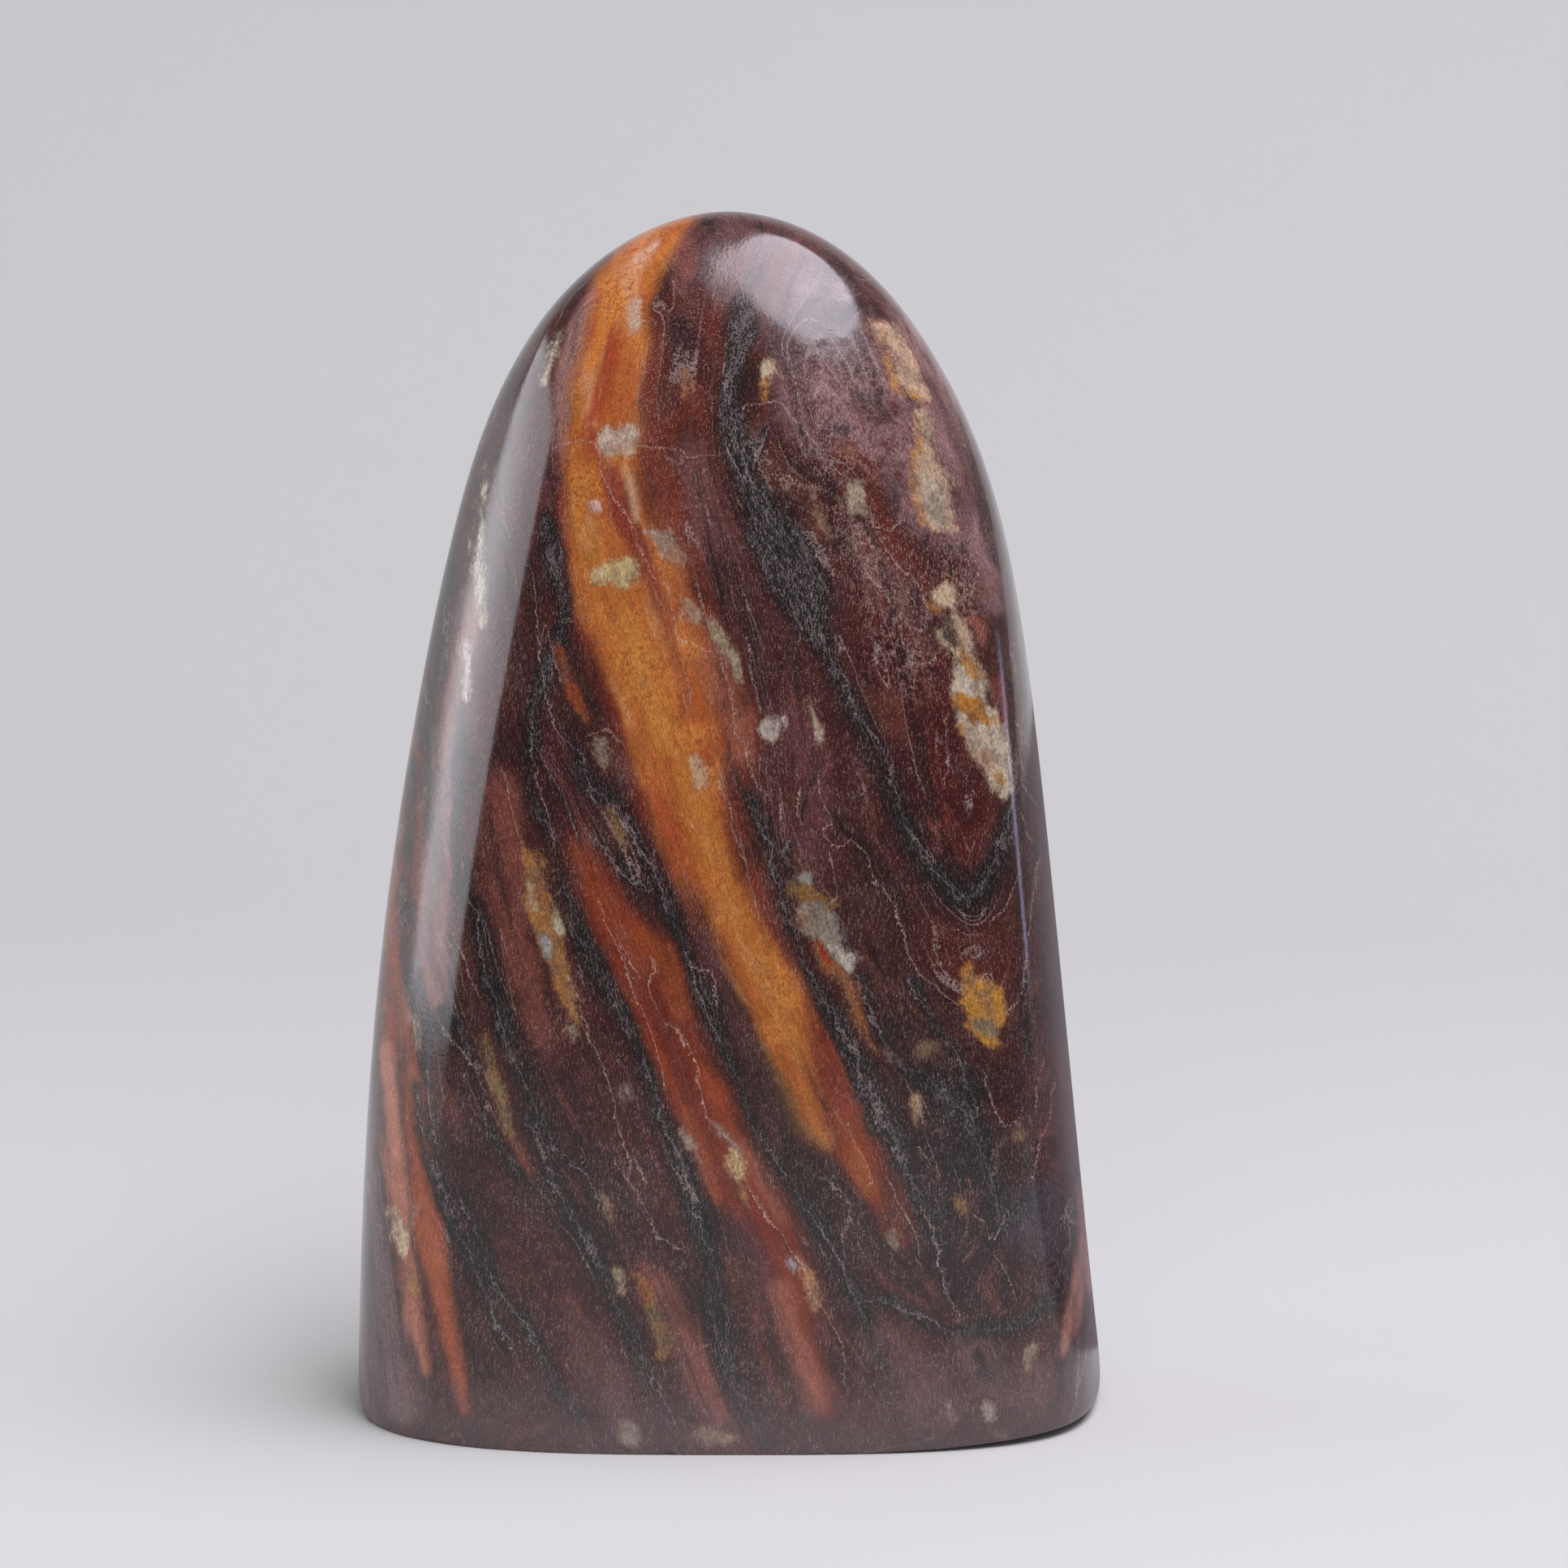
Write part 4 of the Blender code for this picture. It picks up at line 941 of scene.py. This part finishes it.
# healed cracks, stepped and broken up along their run
shake = add("Math", grain["clouds"], 1.2, -0.6, operation="MULTIPLY_ADD")
shake = add("Math", grain["grains"], 0.9, shake, operation="MULTIPLY_ADD")
crack = add("Math", add("Math", crack_offset, shake, operation="ADD"), 0.45, operation="SUBTRACT")
crack = add("Math", crack, operation="ABSOLUTE")
crack = add("MapRange", crack, 0.095, 0.015, interpolation_type="SMOOTHSTEP")
crack = add("Math", crack, add("MapRange", crack_away, 1.2, 0.6), operation="MULTIPLY")
broken = add("MapRange", grain["grains"], 0.36, 0.58, 0.18, 0.84, interpolation_type="SMOOTHSTEP")
broken = add("Math", broken, add("MapRange", calm, 0.2, 1.0, 0.90, 1.0), operation="MULTIPLY")
body = add("Mix", add("Math", crack, broken, operation="MULTIPLY"), body, paint("B2988C"), data_type="RGBA")

# grains, paler and darker, over all of it, with the lint-like marks of the last polish, and the
# rock darker where no iron has soaked in
LEVELS = (
    (grain["clouds"], 0.3, 0.7, 0.88, 1.12),
    (grain["threads"], 0.3, 0.7, 0.86, 1.14),
    (grain["grains"], 0.3, 0.7, 0.84, 1.16),
    (grain["salt"], 0.3, 0.7, 0.74, 1.28),
    (grain["lint"], 0.3, 0.7, 0.86, 1.16),
    (calm, 0.2, 1.0, 1.0, 0.76),
)
for source, low, high, least, most in LEVELS:
    level = add("MapRange", source, low, high, least, most)
    level = add("CombineColor", level, level, level)
    body = add("Mix", 1.0, body, level, data_type="RGBA", blend_type="MULTIPLY")
pale = add("Math", grain["lint"], grain["salt"], operation="ADD")
pale = add("MapRange", pale, 1.05, 1.30, 0.0, 0.42, interpolation_type="SMOOTHSTEP")
pale = add("Math", pale, add("MapRange", grain["patches"], 0.36, 0.62, 0.35, 1.0), operation="MULTIPLY")
pale = add("Math", pale, add("MapRange", in_breccia, 0.0, 1.0, 1.0, 1.9), operation="MULTIPLY")
body = add("Mix", add("Math", pale, calm, operation="MULTIPLY"), body, paint("A08A84"), data_type="RGBA")

# the foot, handled and set down most, has lost its last polish and is duller there; the pale grey haze laid
# over its colour is painted reflection of the pale floor
worn_and_sheen = add("Math", grain["clouds"], 9.0, height_mm, operation="MULTIPLY_ADD")
worn_and_sheen = add("MapRange", worn_and_sheen, 17.0, 3.0, 0.0, 1.0, interpolation_type="SMOOTHSTEP")
body = add("Mix", add("Math", worn_and_sheen, 0.17, operation="MULTIPLY"), body, paint("B0A2A4"), data_type="RGBA")

# the gloss of polished quartz, a little uneven, and duller where the foot is worn
tree.links.new(body, shader.inputs["Base Color"])
shader.inputs["IOR"].default_value = 1.54
gloss = add("MapRange", grain["clouds"], 0.3, 0.7, 0.09, 0.17)
gloss = add("Math", worn_and_sheen, 0.20, gloss, operation="MULTIPLY_ADD")
tree.links.new(gloss, shader.inputs["Roughness"])
relief = add("Math", grain["clouds"], grain["grains"], operation="ADD")
tree.links.new(add("Bump", 1.0, RELIEF, 1.0, relief), shader.inputs["Normal"])
skin_mesh.materials.clear()
skin_mesh.materials.append(material)

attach(stone, "root")
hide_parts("stone")

# The floor: a sheet of pale matt paper, laid flat under the stone and swept up behind it in one wide
# round bend, so that no line shows there.
FLOOR_FRONT = -1.6
FLOOR_BACK = 0.75
FLOOR_LEFT = -1.2
FLOOR_RIGHT = 0.5
SWEEP_HEIGHT = 1.7
SWEEP_RADIUS = 0.45
SWEEP_SEGMENTS = 16
MATT = 0.9

bpy.ops.object.select_all(action="DESELECT")
bpy.ops.mesh.primitive_plane_add(size=1.0)
floor = bpy.context.object
floor.name = "floor"
for corner in floor.data.vertices:
    corner.co.x = FLOOR_LEFT if corner.co.x < 0 else FLOOR_RIGHT
    corner.co.y = FLOOR_FRONT if corner.co.y < 0 else FLOOR_BACK
bpy.ops.object.mode_set(mode="EDIT")
bpy.ops.mesh.select_mode(type="EDGE")
bpy.ops.mesh.select_all(action="DESELECT")
bpy.ops.object.mode_set(mode="OBJECT")
for edge in floor.data.edges:
    edge.select = all(floor.data.vertices[end].co.y > 0 for end in edge.vertices)
bpy.ops.object.mode_set(mode="EDIT")
bpy.ops.mesh.extrude_region_move(TRANSFORM_OT_translate={"value": (0, 0, SWEEP_HEIGHT)})
bpy.ops.mesh.select_all(action="DESELECT")
bpy.ops.object.mode_set(mode="OBJECT")
for edge in floor.data.edges:
    ends = [floor.data.vertices[end].co for end in edge.vertices]
    edge.select = all(end.y > 0 and end.z < 0.01 for end in ends)
bpy.ops.object.mode_set(mode="EDIT")
bpy.ops.mesh.bevel(offset=SWEEP_RADIUS, segments=SWEEP_SEGMENTS, affect="EDGES")
bpy.ops.object.mode_set(mode="OBJECT")
bpy.ops.object.shade_smooth()
paper = bpy.data.materials.new("matt paper")
paper.use_nodes = True
finish = paper.node_tree.nodes["Principled BSDF"].inputs
finish["Base Color"].default_value = (*linear("BABBB8"), 1.0)
finish["Roughness"].default_value = MATT
floor.data.materials.append(paper)


# The lamps: a large oval softbox overhead to the right of the camera, a wide one on the left, a small
# one low on the far right, each where the polish mirrors it, and a fill in front that it doesn't.
def softbox(name, shape, place, look_at, size, radiance, colour):
    """A lamp of an even brightness, whatever its size, turned to look at a point."""
    width, height = size
    lamp = bpy.data.lights.new(name, "AREA")
    lamp.shape = shape
    lamp.size = width
    lamp.size_y = height
    area = width * height * (math.pi / 4 if shape == "ELLIPSE" else 1)
    lamp.energy = radiance * area * math.pi
    lamp.color = linear(colour)
    holder = bpy.data.objects.new(name, lamp)
    bpy.context.scene.collection.objects.link(holder)
    holder.location = place
    holder.rotation_euler = (Vector(look_at) - Vector(place)).to_track_quat("-Z", "Y").to_euler()
    return holder


softbox("overhead softbox", "ELLIPSE", (0.36, -0.32, 1.0), (0.36, -0.32, 0), (0.76, 1.28), 7.4, "F8F2FF")
softbox("left softbox", "RECTANGLE", (-0.8, 0.18, 0.26), (0, 0.18, 0.26), (0.95, 0.48), 2.9, "F4F8FF")
softbox("right softbox", "RECTANGLE", (0.9, 0.44, 0.06), (0, 0, 0.06), (0.10, 0.14), 2.4, "D4D4FF")
fill = softbox("front fill", "RECTANGLE", (0.1, -1.5, 0.8), (0, 0, 0.06), (1.2, 1.2), 2.2, "FFFFFF")
fill.visible_glossy = False

# A card of grey felt on board lies behind the stone to the right, its far edge propped up a little,
# so that the rim there mirrors dark and its own colour shows. Only the polish sees it.
CARD_WIDTH = 0.34
CARD_LENGTH = 0.283
CARD_MIDDLE = (0.20, 0.16, 0.021)
CARD_LEAN = math.atan2(0.039, 0.28)

bpy.ops.object.select_all(action="DESELECT")
bpy.ops.mesh.primitive_plane_add(size=1.0, location=CARD_MIDDLE, rotation=(CARD_LEAN, 0, 0))
card = bpy.context.object
card.name = "black_card"
card.scale = (CARD_WIDTH, CARD_LENGTH, 1.0)
bpy.ops.object.transform_apply(location=True, rotation=True, scale=True)
felt = bpy.data.materials.new("grey felt")
felt.use_nodes = True
finish = felt.node_tree.nodes["Principled BSDF"].inputs
finish["Base Color"].default_value = (*linear("6A6466"), 1.0)
finish["Roughness"].default_value = MATT
card.data.materials.append(felt)
card.visible_camera = card.visible_diffuse = card.visible_shadow = False

# The room: a faint even light from all round, and the plain view transform that keeps the tones as
# they are written.
world = bpy.data.worlds.new("studio")
world.use_nodes = True
world.node_tree.nodes["Background"].inputs["Color"].default_value = (*linear("F4F4F8"), 1.0)
world.node_tree.nodes["Background"].inputs["Strength"].default_value = 0.22
bpy.context.scene.world = world
bpy.context.scene.view_settings.view_transform = "Standard"
